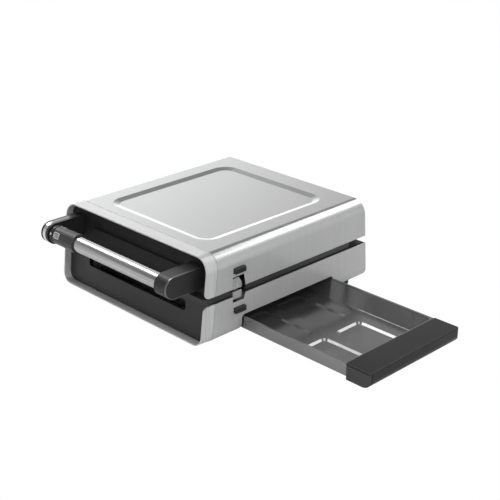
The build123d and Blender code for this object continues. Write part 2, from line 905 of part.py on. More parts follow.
def reflector():
    """Bright pan under the element."""
    x = (-reflector_half, reflector_half)
    pan = rounded_block(x, reflector_y, (reflector_low, reflector_low + reflector_depth), 4.5)
    hollow = rounded_block(
        (x[0] + reflector_wall, x[1] - reflector_wall),
        (reflector_y[0] + reflector_wall, reflector_y[1] - reflector_wall),
        (reflector_low + reflector_wall, reflector_low + reflector_depth + 1),
        3.7,
    )
    return pan - hollow


spout_x = (drain_x - 6, drain_x + 8)
spout_y = (-drain_length / 2 - 3, drain_length / 2 + 3)
spout_low = tray_rim + 1.6
spout = block(spout_x, spout_y, (spout_low, reflector_low + reflector_wall))
spout_hole = block(
    (spout_x[0] + reflector_wall, spout_x[1] - reflector_wall),
    (spout_y[0] + reflector_wall, spout_y[1] - reflector_wall),
    (spout_low - 1, reflector_low + reflector_wall + 1),
)
save("lower_reflector", reflector() + spout - spout_hole)
save("upper_reflector", mirror_lid(reflector()))

clip_places = [(-element_outer, -60.0), (element_outer, -60.0), (-element_outer, 60.0)]
clip_places += [(element_outer, 60.0), (-element_inner, 30.0), (element_inner, 30.0)]
clip_low = reflector_low + reflector_wall


def element_clip(x, y):
    """Bracket from the reflector's floor up round the element."""
    x_span = (x - clip_size / 2 - 2, x + clip_size / 2 + 2)
    body = block(x_span, (y - 2, y + 2), (clip_low, element_z + 1))
    return body - rod_y(element_radius + 0.15, x, (y - 3, y + 3), element_z)


clips = [element_clip(x, y) for x, y in clip_places]
save("lower_element_clips", clips)
save("upper_element_clips", [mirror_lid(clip) for clip in clips])

sensor_top = plate_low - piece_gap
sensor = rod_z(thermostat_radius, 0, thermostat_y, (sensor_top - thermostat_height, sensor_top))
sensor += block((-3, 3), (thermostat_y - 3, thermostat_y + 3), (clip_low, sensor_top - thermostat_height))
save("lower_thermostat", sensor)
save("upper_thermostat", mirror_lid(sensor))

fuse_z = clip_low + fuse_radius + 3
fuse = rod_x(fuse_radius, (-fuse_length / 2, fuse_length / 2), fuse_y, fuse_z)
fuse += block((-2, 2), (fuse_y - 2, fuse_y + 2), (clip_low, fuse_z))
save("thermal_fuse", fuse)

terminal_x = (terminal_side - half, terminal_side - half + terminal_length)
terminal_y = (half_depth - terminal_end - terminal_width, half_depth - terminal_end)
terminal_top = floor_top + terminal_height
terminal = block(terminal_x, terminal_y, (floor_top, terminal_top))
terminal_places = [terminal_x[0] + terminal_margin + number * terminal_pitch for number in range(3)]
for x in terminal_places:
    terminal -= rod_z(terminal_hole, x, terminal_y[0] + 3.5, (terminal_top - 3, terminal_top + 1))
save("terminal_block", terminal)

wire_start = -half + sheet + gland_depth + 1
wire_turn = wire_start + 9.0
wire_y = terminal_y[1] - 5.0
wire_end = terminal_top + 0.2
wire_level = gland_z - 5.5
wire_front = wire_y + 21.0
feed_y = wire_y + 27.0
base_wires = [
    tube_along(
        [(wire_start, gland_y, gland_z + wire_pitch), (wire_turn, gland_y, wire_level)]
        + [(wire_turn + 12, gland_y, wire_level), (terminal_places[0], wire_y, wire_level)]
        + [(terminal_places[0], wire_y, wire_end)],
        wire_radius,
        wire_bend,
    ),
    tube_along(
        [(wire_start, gland_y, gland_z - wire_pitch), (wire_turn, gland_y, wire_level - 3)]
        + [(terminal_places[1] - 10, gland_y, wire_level - 3), (terminal_places[1], wire_y, wire_level)]
        + [(terminal_places[1], wire_y, wire_end)],
        wire_radius,
        wire_bend - 0.5,
    ),
    tube_along(
        [(terminal_places[2], wire_y, wire_end), (terminal_places[2], wire_y, wire_level + 3.5)]
        + [(terminal_places[2], wire_front, wire_level + 7.5), (-element_inner - 15, feed_y, element_z)]
        + [(-element_inner, feed_y, element_z), (-element_inner, element_end + 0.2, element_z)],
        wire_radius,
        wire_bend - 0.5,
    ),
]
save("base_wiring", base_wires)

gland_outer = -half - gland_proud - piece_gap
gland = rod_x(gland_flange, (gland_outer, -half - piece_gap), gland_y, gland_z)
gland += rod_x(gland_neck, (-half - piece_gap - 0.1, -half + sheet + piece_gap + 0.1), gland_y, gland_z)
gland += rod_x(gland_body, (-half + sheet + piece_gap, -half + sheet + gland_depth), gland_y, gland_z)
gland -= rod_x(gland_bore, (gland_outer - 1, -half + sheet + gland_depth + 1), gland_y, gland_z)
save("cord_gland", gland)


# Rails: channels that hold the rim of the tray down
def rail():
    web_outer = rail_web_y + rail_wall
    x = (rail_inner_end, opening_floor_cut)
    web = block(x, (rail_web_y, web_outer), (floor_top, rail_top))
    lip = block(x, (rail_web_y - rail_lip, web_outer), (rail_top - rail_wall, rail_top))
    foot_x = (rail_inner_end + 4, opening_floor_cut)
    foot = block(foot_x, (rail_web_y, web_outer + rail_foot), (floor_top, floor_top + rail_wall))
    return web + lip + foot


near_rail = rail()
save("tray_rails", [near_rail, mirror(near_rail, about=Plane.XZ)])


def foot(x, y):
    pad = rod_z(foot_radius, x, y, (0, foot_height))
    pad = chamfer(pad.edges().group_by(Axis.Z)[0], foot_chamfer)
    pad -= rod_z(foot_recess, x, y, (-1, foot_recess_depth))
    return pad - rod_z(screw_radius + screw_gap, x, y, (0, foot_height + 1))


save("feet", [foot(x, y) for x, y in foot_places])


def screw(turn, radius, head, length):
    """Pan-head screw along Z, its head's under face at the origin, turned and placed by turn."""
    dome = Pos(0, 0, -screw_head_height / 2) * Cylinder(head, screw_head_height)
    dome = fillet(dome.edges().group_by(Axis.Z)[0], screw_head_height * 0.4)
    cross = Pos(0, 0, -screw_head_height) * (Box(head * 1.1, 0.7, 2.0) + Box(0.7, head * 1.1, 2.0))
    return turn * (dome + Pos(0, 0, length / 2) * Cylinder(radius, length) - cross)


def cover_screw(turn, length):
    return screw(turn, cover_screw_radius, cover_screw_head, length)


foot_screws = [
    screw(Pos(x, y, foot_recess_depth - 0.1), screw_radius, screw_head, foot_screw_length)
    for x, y in foot_places
]
save("foot_screws", foot_screws)
cover_screws = [
    cover_screw(Pos(x, y, base_low - 0.1), cover_screw_short)
    for x, y in cover_screw_places
]
save("base_cover_screws", cover_screws)

# Rear covers
arm_outer_x = arm_inner + arm_width
leaf_inner = arm_outer_x + piece_gap + 0.2
leaf_outer = leaf_inner + leaf_width
hinge_post_rear = hinge_post_front + hinge_post_depth
post_hole_x = (arm_inner - piece_gap, arm_outer_x + piece_gap)
post_hole_y = (hinge_post_front - piece_gap, hinge_post_rear + piece_gap)


def vents(z):
    """Row of upright slots through a rear cover."""
    slots = []
    for number in range(cover_vent_count):
        x = (number - (cover_vent_count - 1) / 2) * cover_vent_pitch
        points = [(x - cover_vent_width / 2, z[0]), (x + cover_vent_width / 2, z[0])]
        points += [(x + cover_vent_width / 2, z[1]), (x - cover_vent_width / 2, z[1])]
        slots.append(front_prism(points, [1.2] * 4, (rear_y(base_low) - 20, rear_y(base_low) + 5)))
    return slots


cover_half = half - sheet - piece_gap
cover_corner = base_corner - sheet - piece_gap
rear_plate = channel(cover_half, floor_top + piece_gap, base_top - 0.5, cover_corner)
base_cover = rear_plate & rear_band(cover_inset, cover_inset + cover_wall, (base_low, base_top))
base_cover -= vents((base_low + cover_vent_margin, base_top - cover_vent_margin))
deck_half = rim_inner_half + 20
deck = block((-deck_half, deck_half), (cover_deck_front, rear_y(base_top) - 1), (base_top - 3, base_top - 0.5))
deck -= both_sides(block(post_hole_x, post_hole_y, (base_low, base_top + 1)))
lug_y = (rear_flange_y - 6, rear_y(base_low) - 2)
lug = block((-cover_screw_x - 8, cover_screw_x + 8), lug_y, (floor_top + piece_gap, floor_top + 3.5))
base_cover = base_cover + deck + lug
base_cover -= cover_screw_holes((base_low, base_low + 10))
save("base_rear_cover", base_cover)

lid_screw_z = (lid_low + lid_top) / 2
lid_screw_places = [-cover_screw_x, 0.0, cover_screw_x]
lid_cover_face = rear_y(lid_screw_z) - cover_inset
lid_plate = channel(cover_half, lid_top - sheet - piece_gap, lid_low + 0.5, lid_corner - sheet - piece_gap)
lid_cover = lid_plate & rear_band(cover_inset, cover_inset + cover_wall, (lid_low, lid_top))
lid_cover -= vents((lid_low + cover_vent_margin, lid_screw_z - 4))
screw_seat = lid_cover_face - cover_wall + 1.0
for x in lid_screw_places:
    lid_cover -= rod_y(cover_screw_head + piece_gap, x, (screw_seat, screw_seat + 10), lid_screw_z + 8)
    lid_cover -= rod_y(cover_screw_radius + screw_gap, x, (screw_seat - 10, screw_seat + 1), lid_screw_z + 8)
save("lid_rear_cover", lid_cover)
lid_screws = [
    cover_screw(Pos(x, screw_seat + 0.1, lid_screw_z + 8) * Rot(90, 0, 0), cover_screw_length)
    for x in lid_screw_places
]
save("lid_cover_screws", lid_screws)

# Lid chassis: the same frame turned over, with brackets to the leaves and the rear cover
lid_frame = mirror_lid(frame)
lid_frame -= rod_x(stem_radius + piece_gap, stem_hole_x, button_y, upper_button_z)
lid_chassis_low = 2 * seam_mid - chassis_top
lid_chassis_high = 2 * seam_mid - chassis_low
leaf_bracket = block(
    (leaf_inner, leaf_outer),
    (rim_rear - 1, hinge_post_front - piece_gap),
    (lid_chassis_low + 0.5, lid_chassis_low + 14),
)
hanger = block(
    (post_x - post_size + 2, post_x + 2),
    (-20, 20),
    (lid_chassis_high - 0.5, lid_top - sheet - piece_gap),
)
lid_frame = lid_frame + both_sides(leaf_bracket) + both_sides(hanger)
front_hanger = block(
    (post_x - post_size + 2, post_x + 2),
    (rim_front + 2, rim_front + 14),
    (lid_chassis_high - 0.5, lid_top - sheet - piece_gap),
)
lid_frame += both_sides(front_hanger)
for x in lid_screw_places:
    cover_bracket = block((x - 5, x + 5), (rim_rear - 1, wide), (lid_screw_z + 3, lid_screw_z + 13))
    cover_bracket &= body_block(0, cover_inset + cover_wall + piece_gap, (lid_low, lid_top))
    bracket_hole = rod_y(cover_screw_radius + screw_gap, x, (screw_seat - 30, screw_seat), lid_screw_z + 8)
    lid_frame += cover_bracket - bracket_hole
leaf_middle = leaf_inner + leaf_width / 2
leaf_screw_z = (lid_chassis_low + 4, lid_chassis_low + 10.5)
leaf_screw_places = [(x, z) for x in (leaf_middle, -leaf_middle) for z in leaf_screw_z]
leaf_screw_head_y = hinge_post_front + leaf_thick
leaf_hole_end = leaf_screw_head_y - leaf_screw_length - screw_hole_spare - 1
for x, z in leaf_screw_places:
    lid_frame -= rod_y(cover_screw_radius + screw_gap, x, (leaf_hole_end, leaf_screw_head_y), z)
save("lid_chassis", lid_frame)

# Hinge arms slide up and down in their guides, the lid's leaves turn on the pins
bar_z = (seam_mid - hinge_bar_thick / 2, seam_mid + hinge_bar_thick / 2)
knuckle_hole = rod_x(hinge_pin_radius + pin_gap, (arm_inner - 5, leaf_outer + 5), hinge_y, seam_mid)
arm_x = (arm_inner, arm_outer_x)
arm = block(arm_x, (hinge_post_front, hinge_y), bar_z)
arm += block(arm_x, (hinge_post_front, hinge_post_rear), (hinge_post_low, seam_mid))
arm += rod_x(knuckle_radius, arm_x, hinge_y, seam_mid)
arm -= knuckle_hole
link_y = (hinge_post_front + hinge_post_rear) / 2
arm -= rod_x(link_radius + pin_gap, (arm_inner - 1, arm_inner + 6), link_y, link_z)
save("hinge_arms", both_sides(arm))

leaf_x = (leaf_inner, leaf_outer)
leaf = block(leaf_x, (hinge_post_front, hinge_y), bar_z)
leaf += rod_x(knuckle_radius, leaf_x, hinge_y, seam_mid)
leaf += block(leaf_x, (hinge_post_front, hinge_post_front + leaf_thick), (seam_mid, seam_mid + leaf_rise))
leaf -= knuckle_hole
for x, z in leaf_screw_places:
    leaf -= rod_y(cover_screw_radius + screw_gap, x, (leaf_hole_end, leaf_screw_head_y + 1), z)
save("hinge_leaves", both_sides(leaf))
hinge_screws = [
    screw(
        Pos(x, leaf_screw_head_y + 0.1, z) * Rot(90, 0, 0),
        cover_screw_radius,
        leaf_screw_head,
        leaf_screw_length,
    )
    for x, z in leaf_screw_places
]
save("hinge_screws", hinge_screws)
hinge_pin = rod_x(hinge_pin_radius, (arm_inner - 1.5, leaf_outer + 1.5), hinge_y, seam_mid)
save("hinge_pins", both_sides(hinge_pin))
save("hinge_link_bar", rod_x(link_radius, (-arm_inner - 5, arm_inner + 5), link_y, link_z))

guide_x = (arm_inner - piece_gap - guide_wall, arm_outer_x + piece_gap + guide_wall)
guide_y = (hinge_post_front - piece_gap - guide_wall, hinge_post_rear + piece_gap + guide_wall)
guide = block(guide_x, guide_y, (floor_top, guide_top))
guide_foot_x = (guide_x[0], rear_foot_x + 9)
guide += block(guide_foot_x, (rear_foot_y - 8, guide_y[1]), (floor_top, floor_top + guide_foot_height))
guide -= block(post_hole_x, post_hole_y, (hinge_post_low - 2, guide_top + 1))
guide -= block(
    (guide_x[0] - 1, post_hole_x[0] + 1),
    (link_y - link_radius - piece_gap, link_y + link_radius + piece_gap),
    (link_z - link_radius - piece_gap, link_z + hinge_lift + link_radius + 1),
)
guides = [side - foot_screw_holes((base_low, foot_screw_length + 8)) for side in both_sides(guide)]
save("hinge_guides", guides)

# Drip tray, pulled out: upright near wall, sloping far wall, sunk pans in the floor
tray_x = (tray_inner_end, tray_outer_end)
tray_under = tray_bottom + pan_drop
tray_floor = tray_under + tray_wall
tray = side_prism(
    [
        (-tray_half_width, tray_under),
        (tray_slope_foot, tray_under),
        (tray_slope_head, tray_slope_top),
        (tray_half_width, tray_slope_top),
        (tray_half_width, tray_rim),
        (-tray_half_width, tray_rim),
    ],
    [4.0, 3.0, 1.5, 0, 0.4, 0.4],
    tray_x,
)
hollow = side_prism(
    [
        (-tray_half_width + tray_wall, tray_floor),
        (tray_slope_foot - tray_wall / 2, tray_floor),
        (tray_slope_head - tray_wall * 0.9, tray_slope_top + 0.3),
        (tray_slope_head - tray_wall * 0.9, tray_rim + 1),
        (-tray_half_width + tray_wall, tray_rim + 1),
    ],
    [3.0, 2.5, 0, 0, 0],
    (tray_x[0] - 1, tray_x[1] + 1),
)
hollow &= rounded_block(
    (tray_x[0] + tray_wall, tray_x[1] - tray_wall),
    (-tray_half_width + tray_wall, tray_half_width),
    (tray_bottom, tray_rim + 1),
    tray_end_corner,
)
hem_hollow = rounded_block(
    (tray_x[0] + tray_hem, tray_x[1] - tray_hem),
    (-tray_half_width + tray_hem, tray_slope_head - tray_wall),
    (tray_bottom, tray_rim + 1),
    tray_end_corner,
)
hem = block(tray_x, (-tray_half_width, tray_half_width), (tray_rim - tray_hem_height, tray_rim)) - hem_hollow
hem &= rounded_block(tray_x, (-tray_half_width, tray_half_width), (tray_bottom, tray_rim), 1.0)
tray = tray - hollow + hem


def pan_solid(x, y, z, inset):
    """Sunk pan with sloping sides, from its floor at z[0] up to z[1]."""
    spread = inset - (z[1] - z[0]) * pan_bevel / pan_drop
    foot = (x[0] + inset, x[1] - inset, y[0] + inset, y[1] - inset, pan_corner - inset / 2)
    mouth = (x[0] + spread, x[1] - spread, y[0] + spread, y[1] - spread, pan_corner - spread / 2)
    return frustum(foot, mouth, z)


for column in pan_columns:
    for row_y in (pan_near, pan_far):
        span = (column, (row_y, row_y + pan_width))
        tray += pan_solid(span[0], span[1], (tray_bottom, tray_under + 0.2), pan_bevel - tray_wall)
        tray -= pan_solid(span[0], span[1], (tray_bottom + tray_wall, tray_floor + 0.5), pan_bevel)
tray_screw_z = (tray_bottom + tray_rim) / 2
for y in (-handle_screw_y, handle_screw_y):
    tray -= rod_x(cover_screw_radius + screw_gap, (tray_x[1] - 5, tray_x[1] + 5), y, tray_screw_z)
save("drip_tray", tray)

# Tray handle: continues the side of the body when the tray is home
grip_x = (tray_outer_end + 0.2, handle_face)
grip_y = (-tray_half_width - 0.2, tray_half_width + 0.2)
grip = front_prism(
    [(grip_x[0], base_low), (grip_x[1], base_low), (grip_x[1], tray_handle_top), (grip_x[0], tray_handle_top)],
    [0, tray_handle_round, tray_handle_edge, 0.6],
    grip_y,
)
grip &= rounded_block(
    (grip_x[0] - 2 * tray_handle_corner, grip_x[1]),
    grip_y,
    (base_low - 1, tray_handle_top + 1),
    tray_handle_corner,
)
grip_hollow = front_prism(
    [
        (grip_x[0] - 1, base_low + tray_handle_wall),
        (grip_x[1] - tray_handle_wall, base_low + tray_handle_wall),
        (grip_x[1] - tray_handle_wall, tray_handle_top - tray_handle_wall - 1.5),
        (grip_x[0] - 1, tray_handle_top - tray_handle_wall - 1.5),
    ],
    [0, tray_handle_round - tray_handle_wall, 1, 0],
    (grip_y[0] + tray_handle_wall, grip_y[1] - tray_handle_wall),
)
grip -= grip_hollow
groove_top = tray_handle_top - tray_handle_groove_drop
groove_x = (grip_x[0] - 1, grip_x[1] - 2.2)
for y in (grip_y[0], grip_y[1] - tray_handle_groove):
    groove_y = (y - 0.01, y + tray_handle_groove + 0.01)
    grip -= block(groove_x, groove_y, (groove_top - tray_handle_groove, groove_top))
boss_hole_x = (grip_x[0] - 1, grip_x[0] + cover_screw_length + screw_hole_spare)
for y in (-handle_screw_y, handle_screw_y):
    boss = rod_x(handle_boss_radius, (grip_x[0], grip_x[1] - 2 * tray_handle_wall), y, tray_screw_z)
    grip += boss - rod_x(cover_screw_radius + screw_gap, boss_hole_x, y, tray_screw_z)
save("tray_handle", grip)
tray_screws = [
    cover_screw(Pos(tray_x[1] - tray_wall - 0.1, y, tray_screw_z) * Rot(0, 90, 0), cover_screw_length)
    for y in (-handle_screw_y, handle_screw_y)
]
save("tray_handle_screws", tray_screws)


# Handle
def stadium(radius, x):
    """Handle arm's shape: round nose on the handle's axis, straight back to the lid."""
    nose = rod_x(radius, x, handle_y, handle_z)
    straight = block(x, (handle_y, front_y(lid_top) + 30), (handle_z - radius, handle_z + radius))
    return (nose + straight) & front_band(-wide, panel_recess - piece_gap, (0, lid_top))


trim_radius = nose_radius - trim_thick
right_x = (right_arm_inner, arm_outer)
left_x = (-arm_outer, -left_arm_inner)
right_trim_x = (arm_outer - right_trim_width, arm_outer)
left_trim_x = (left_x[0] + left_trim_outer, left_x[1] - left_trim_inner)
ring_x = (left_x[1] + left_neck, left_x[1] + left_neck + pointer_ring)


def arm_trim(x):
    """Thin band round an arm's outline."""
    return stadium(nose_radius, x) - stadium(trim_radius, (x[0] - 1, x[1] + 1))


save("handle_arm_trims", [arm_trim(right_trim_x), arm_trim(left_trim_x)])

core_hole = rod_x(core_radius + pin_gap, (-arm_outer - 1, arm_outer + 1), handle_y, handle_z)
core_end = arm_outer - 4.0
right_arm = stadium(nose_radius, right_x) - stadium(nose_radius + 1, right_trim_x)
right_arm += stadium(trim_radius - 0.05, (right_trim_x[0] - 0.1, right_trim_x[1] - 0.4))
spigot_radius = tube_radius - tube_wall - piece_gap
right_arm += rod_x(spigot_radius, (right_arm_inner - spigot_length, right_arm_inner + 0.1), handle_y, handle_z)
right_arm -= rod_x(core_radius + pin_gap, (0, core_end + piece_gap), handle_y, handle_z)

left_arm = stadium(nose_radius, left_x) - stadium(nose_radius + 1, left_trim_x)
left_arm += stadium(trim_radius - 0.05, (left_trim_x[0] - 0.1, left_trim_x[1] + 0.1))
left_arm += rod_x(left_neck_radius, (left_x[1] - 0.1, ring_x[0] + 0.1), handle_y, handle_z)
left_arm += rod_x(dial_radius, ring_x, handle_y, handle_z)
left_arm -= rod_x(core_radius + pin_gap, (-core_end - piece_gap, 0), handle_y, handle_z)

arm_screw_places = []
for x in ((right_arm_inner + arm_outer) / 2, -(left_arm_inner + arm_outer) / 2):
    for z in (handle_z - 9, handle_z + 9):
        arm_screw_places.append((x, z))


def arm_screw_seat(z):
    return front_y(z) + panel_recess + panel_wall + 0.6


for x, z in arm_screw_places:
    hole_y = (arm_screw_seat(z) - arm_screw_length - 1, arm_screw_seat(z) + 5)
    hole = rod_y(screw_radius + screw_gap, x, hole_y, z)
    right_arm -= hole
    left_arm -= hole
    lid_panel -= hole
save("handle_arm_right", right_arm)
save("handle_arm_left", left_arm)
save("lid_front_panel", lid_panel)
arm_screws = [
    screw(Pos(x, arm_screw_seat(z), z) * Rot(90, 0, 0), screw_radius, screw_head, arm_screw_length)
    for x, z in arm_screw_places
]
save("handle_screws", arm_screws)

tube = rod_x(tube_radius, (tube_left, right_arm_inner - 0.1), handle_y, handle_z)
tube -= rod_x(tube_radius - tube_wall, (tube_left - 1, right_arm_inner + 1), handle_y, handle_z)
save("handle_tube", tube)
core = rod_x(core_radius, (-core_end, core_end), handle_y, handle_z)
core -= rod_x(core_bore, (-core_end - 1, core_end + 1), handle_y, handle_z)
save("handle_core_rod", core)

dial_left = ring_x[1] + piece_gap
dial_right = dial_left + dial_length
dial = rod_x(dial_radius, (dial_left + 1.2, dial_right), handle_y, handle_z)
dial = fillet(dial.edges().filter_by(GeomType.CIRCLE), 0.5)
dial += rod_x(dial_neck, (dial_left, dial_left + 1.4), handle_y, handle_z)
dial -= rod_x(sleeve_radius + pin_gap, (dial_left - 1, dial_right + 1), handle_y, handle_z)
save("control_dial", dial)
sleeve_right = dial_right + piece_gap + 6.0
sleeve = rod_x(sleeve_radius, (dial_left + 0.5, sleeve_right), handle_y, handle_z)
sleeve -= rod_x(core_radius + 0.08, (dial_left - 1, sleeve_right + 1), handle_y, handle_z)
save("dial_shaft", sleeve)

cap_left = dial_right + piece_gap
cap = rod_x(cap_radius, (cap_left, tube_left - 0.1), handle_y, handle_z)
cap = fillet(cap.edges().filter_by(GeomType.CIRCLE), 0.8)
cap += rod_x(spigot_radius, (tube_left - 1, tube_left + spigot_length), handle_y, handle_z)
cap -= rod_x(switch_radius + piece_gap, (cap_left - 1, tube_left - 4), handle_y, handle_z)
cap -= core_hole
save("handle_left_cap", cap)
switch_left = cap_left + 2.0
switch = rod_x(switch_radius, (switch_left, switch_left + switch_length), handle_y, handle_z)
switch -= rod_x(sleeve_radius + 0.3, (switch_left - 1, sleeve_right + 0.4), handle_y, handle_z)
switch -= core_hole
save("rotary_switch", switch)

lid_wire_x = lid_wire_side - half
lid_wire_y = half_depth - lid_wire_rear
lid_element_z = 2 * seam_mid - element_z
lid_wires = [
    tube_along(
        [(lid_wire_x, lid_wire_front - half_depth, handle_z), (lid_wire_x, lid_wire_y - 8, handle_z)]
        + [(lid_wire_x + 36, lid_wire_y - 6, handle_z), (-element_inner - 35, lid_wire_y - 4, lid_element_z)]
        + [(-element_inner, lid_wire_y - 4, lid_element_z), (-element_inner, element_end + 0.2, lid_element_z)],
        wire_radius,
        wire_bend - 1,
    )
]
save("lid_wiring", lid_wires)

print("spring pitch", round((leg_high_x - latch_leg - rim_inner_half - chassis_edge) / spring_turns, 2))
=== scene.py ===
import json
import math

import bmesh
import bpy
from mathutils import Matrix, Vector

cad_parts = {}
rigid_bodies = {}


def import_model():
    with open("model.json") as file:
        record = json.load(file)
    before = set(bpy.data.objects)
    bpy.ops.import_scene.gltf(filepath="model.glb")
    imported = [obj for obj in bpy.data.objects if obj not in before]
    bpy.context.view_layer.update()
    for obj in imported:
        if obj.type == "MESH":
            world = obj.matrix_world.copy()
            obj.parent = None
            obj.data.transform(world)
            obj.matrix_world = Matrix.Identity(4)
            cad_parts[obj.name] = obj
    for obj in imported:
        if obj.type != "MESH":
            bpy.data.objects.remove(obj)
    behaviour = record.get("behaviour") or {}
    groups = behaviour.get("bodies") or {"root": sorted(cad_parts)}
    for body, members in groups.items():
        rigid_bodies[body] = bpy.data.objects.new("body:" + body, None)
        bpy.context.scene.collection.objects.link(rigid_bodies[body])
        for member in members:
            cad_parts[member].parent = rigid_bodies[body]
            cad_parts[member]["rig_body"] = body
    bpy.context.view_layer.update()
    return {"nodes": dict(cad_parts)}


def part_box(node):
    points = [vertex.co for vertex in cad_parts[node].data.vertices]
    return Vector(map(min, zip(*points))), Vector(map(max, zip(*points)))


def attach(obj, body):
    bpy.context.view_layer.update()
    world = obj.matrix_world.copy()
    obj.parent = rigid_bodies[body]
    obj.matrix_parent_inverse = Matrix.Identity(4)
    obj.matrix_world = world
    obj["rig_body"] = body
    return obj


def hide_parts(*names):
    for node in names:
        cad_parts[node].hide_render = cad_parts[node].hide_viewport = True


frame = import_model()
nodes = frame["nodes"]

# Table: a seamless sheet of white paper that the grill stands on.
# To the camera it is plain white. What the steel mirrors of it is a pale grey that keeps the
# grill's shadow.
table_reach = 6.0
paper_grey = 0.8
paper_glow = 1.0
paper_mirrored = 0.2


def in_scene(name, data):
    """A new object, linked to the scene."""
    thing = bpy.data.objects.new(name, data)
    bpy.context.scene.collection.objects.link(thing)
    return thing


table_mesh = bpy.data.meshes.new("table")
table_mesh.from_pydata(
    [(x * table_reach, y * table_reach, 0) for x, y in ((-1, -1), (1, -1), (1, 1), (-1, 1))],
    [],
    [(0, 1, 2, 3)],
)
table = in_scene("table", table_mesh)
paper = bpy.data.materials.new("white_paper")
paper.use_nodes = True
paper_tree = paper.node_tree
paper_tree.nodes.clear()
paper_out = paper_tree.nodes.new("ShaderNodeOutputMaterial")
paper_matt = paper_tree.nodes.new("ShaderNodeBsdfDiffuse")
paper_matt.inputs["Color"].default_value = (paper_grey, paper_grey, paper_grey, 1)
paper_light = paper_tree.nodes.new("ShaderNodeEmission")
paper_light.inputs["Strength"].default_value = paper_glow
paper_ray = paper_tree.nodes.new("ShaderNodeLightPath")
paper_gloss = paper_tree.nodes.new("ShaderNodeMath")
paper_gloss.operation = "MULTIPLY"
paper_gloss.inputs[1].default_value = paper_mirrored
paper_share = paper_tree.nodes.new("ShaderNodeMath")
paper_share.operation = "MAXIMUM"
paper_mix = paper_tree.nodes.new("ShaderNodeMixShader")
paper_tree.links.new(paper_ray.outputs["Is Glossy Ray"], paper_gloss.inputs[0])
paper_tree.links.new(paper_ray.outputs["Is Camera Ray"], paper_share.inputs[0])
paper_tree.links.new(paper_gloss.outputs[0], paper_share.inputs[1])
paper_tree.links.new(paper_share.outputs[0], paper_mix.inputs[0])
paper_tree.links.new(paper_matt.outputs[0], paper_mix.inputs[1])
paper_tree.links.new(paper_light.outputs[0], paper_mix.inputs[2])
paper_tree.links.new(paper_mix.outputs[0], paper_out.inputs["Surface"])
table_mesh.materials.append(paper)

# Camera: a long lens, in front of the grill's right corner and a little above it.
# Its lens, place and turn were fitted to the edges of the body in the photo.
lens_mm = 81.35
sensor_mm = 36.0
camera_place = (1.30085, -1.18794, 0.81508)
camera_dip = 23.10
camera_turn = 45.66
camera_data = bpy.data.cameras.new("camera")
camera_data.lens = lens_mm
camera_data.sensor_width = sensor_mm
camera = in_scene("camera", camera_data)
camera.location = camera_place
camera.rotation_euler = (math.radians(90 - camera_dip), 0, math.radians(camera_turn))
bpy.context.scene.camera = camera

# Studio: a bright white horizon under a dim ceiling, brighter behind and at the left, with one
# long soft lamp behind the grill and one each at its left, in front, at its right and above.
sky_strength = 1.7
sky_greys = (
    (0.0, 1.0),
    (0.15, 0.90),
    (0.30, 0.66),
    (0.40, 0.54),
    (0.50, 0.33),
    (0.62, 0.31),
    (1.0, 0.3),
)
left_to_right = ((-0.78, -0.56), (1.5, 0.62))
front_to_back = ((-0.5, 0.2), (0.3, 1.0))
lamps = (
    ("back_lamp", (0.6, 2.2, 2.4), (0.2, 0.0, 0.1), (2.9, 0.9), 23.0),
    ("left_lamp", (-1.9, 0.0, 2.3), (0.1, 0.0, 0.05), (0.9, 2.0), 26.0),
    ("front_lamp", (0.5, -1.9, 2.7), (0.0, 0.0, 0.1), (1.6, 1.6), 12.0),
    ("right_lamp", (1.7, -1.35, 1.25), (0.1, 0.0, 0.08), (1.2, 1.2), 16.0),
    ("top_lamp", (0.4, 0.2, 2.8), (0.35, 0.0, 0.0), (0.9, 0.9), 6.5),
)


def ranged(tree, source, given, wanted):
    """A value moved from one range to another and held at both ends."""
    node = tree.nodes.new("ShaderNodeMapRange")
    node.inputs["From Min"].default_value, node.inputs["From Max"].default_value = given
    node.inputs["To Min"].default_value, node.inputs["To Max"].default_value = wanted
    tree.links.new(source, node.inputs["Value"])
    return node.outputs[0]


bpy.context.scene.view_settings.view_transform = "Standard"
studio = bpy.data.worlds.new("studio")
bpy.context.scene.world = studio
studio.use_nodes = True
sky = studio.node_tree
sky.nodes.clear()
sky_out = sky.nodes.new("ShaderNodeOutputWorld")
sky_light = sky.nodes.new("ShaderNodeBackground")
sky_light.inputs["Strength"].default_value = sky_strength
sky_white = sky.nodes.new("ShaderNodeBackground")
sky_white.inputs["Color"].default_value = (1, 1, 1, 1)
sky_mix = sky.nodes.new("ShaderNodeMixShader")
sky_ray = sky.nodes.new("ShaderNodeLightPath")
sky_place = sky.nodes.new("ShaderNodeTexCoord")
sky_split = sky.nodes.new("ShaderNodeSeparateXYZ")
sky_height = sky.nodes.new("ShaderNodeValToRGB")
sky_stops = sky_height.color_ramp.elements
while len(sky_stops) < len(sky_greys):
    sky_stops.new(sky_greys[len(sky_stops) - 1][0])
for stop, (height, grey) in zip(sky_stops, sky_greys):
    stop.position = height
    stop.color = (grey, grey, grey, 1)
sky_share = sky.nodes.new("ShaderNodeMath")
sky_share.operation = "MULTIPLY"
sky_tone = sky.nodes.new("ShaderNodeVectorMath")
sky_tone.operation = "SCALE"
sky.links.new(sky_place.outputs["Generated"], sky_split.inputs[0])
sky.links.new(sky_split.outputs["Z"], sky_height.inputs[0])
sky.links.new(sky_height.outputs[0], sky_tone.inputs[0])
sky.links.new(ranged(sky, sky_split.outputs["X"], *left_to_right), sky_share.inputs[0])
sky.links.new(ranged(sky, sky_split.outputs["Y"], *front_to_back), sky_share.inputs[1])
sky.links.new(sky_share.outputs[0], sky_tone.inputs["Scale"])
sky.links.new(sky_tone.outputs[0], sky_light.inputs["Color"])
sky.links.new(sky_ray.outputs["Is Camera Ray"], sky_mix.inputs[0])
sky.links.new(sky_light.outputs[0], sky_mix.inputs[1])
sky.links.new(sky_white.outputs[0], sky_mix.inputs[2])
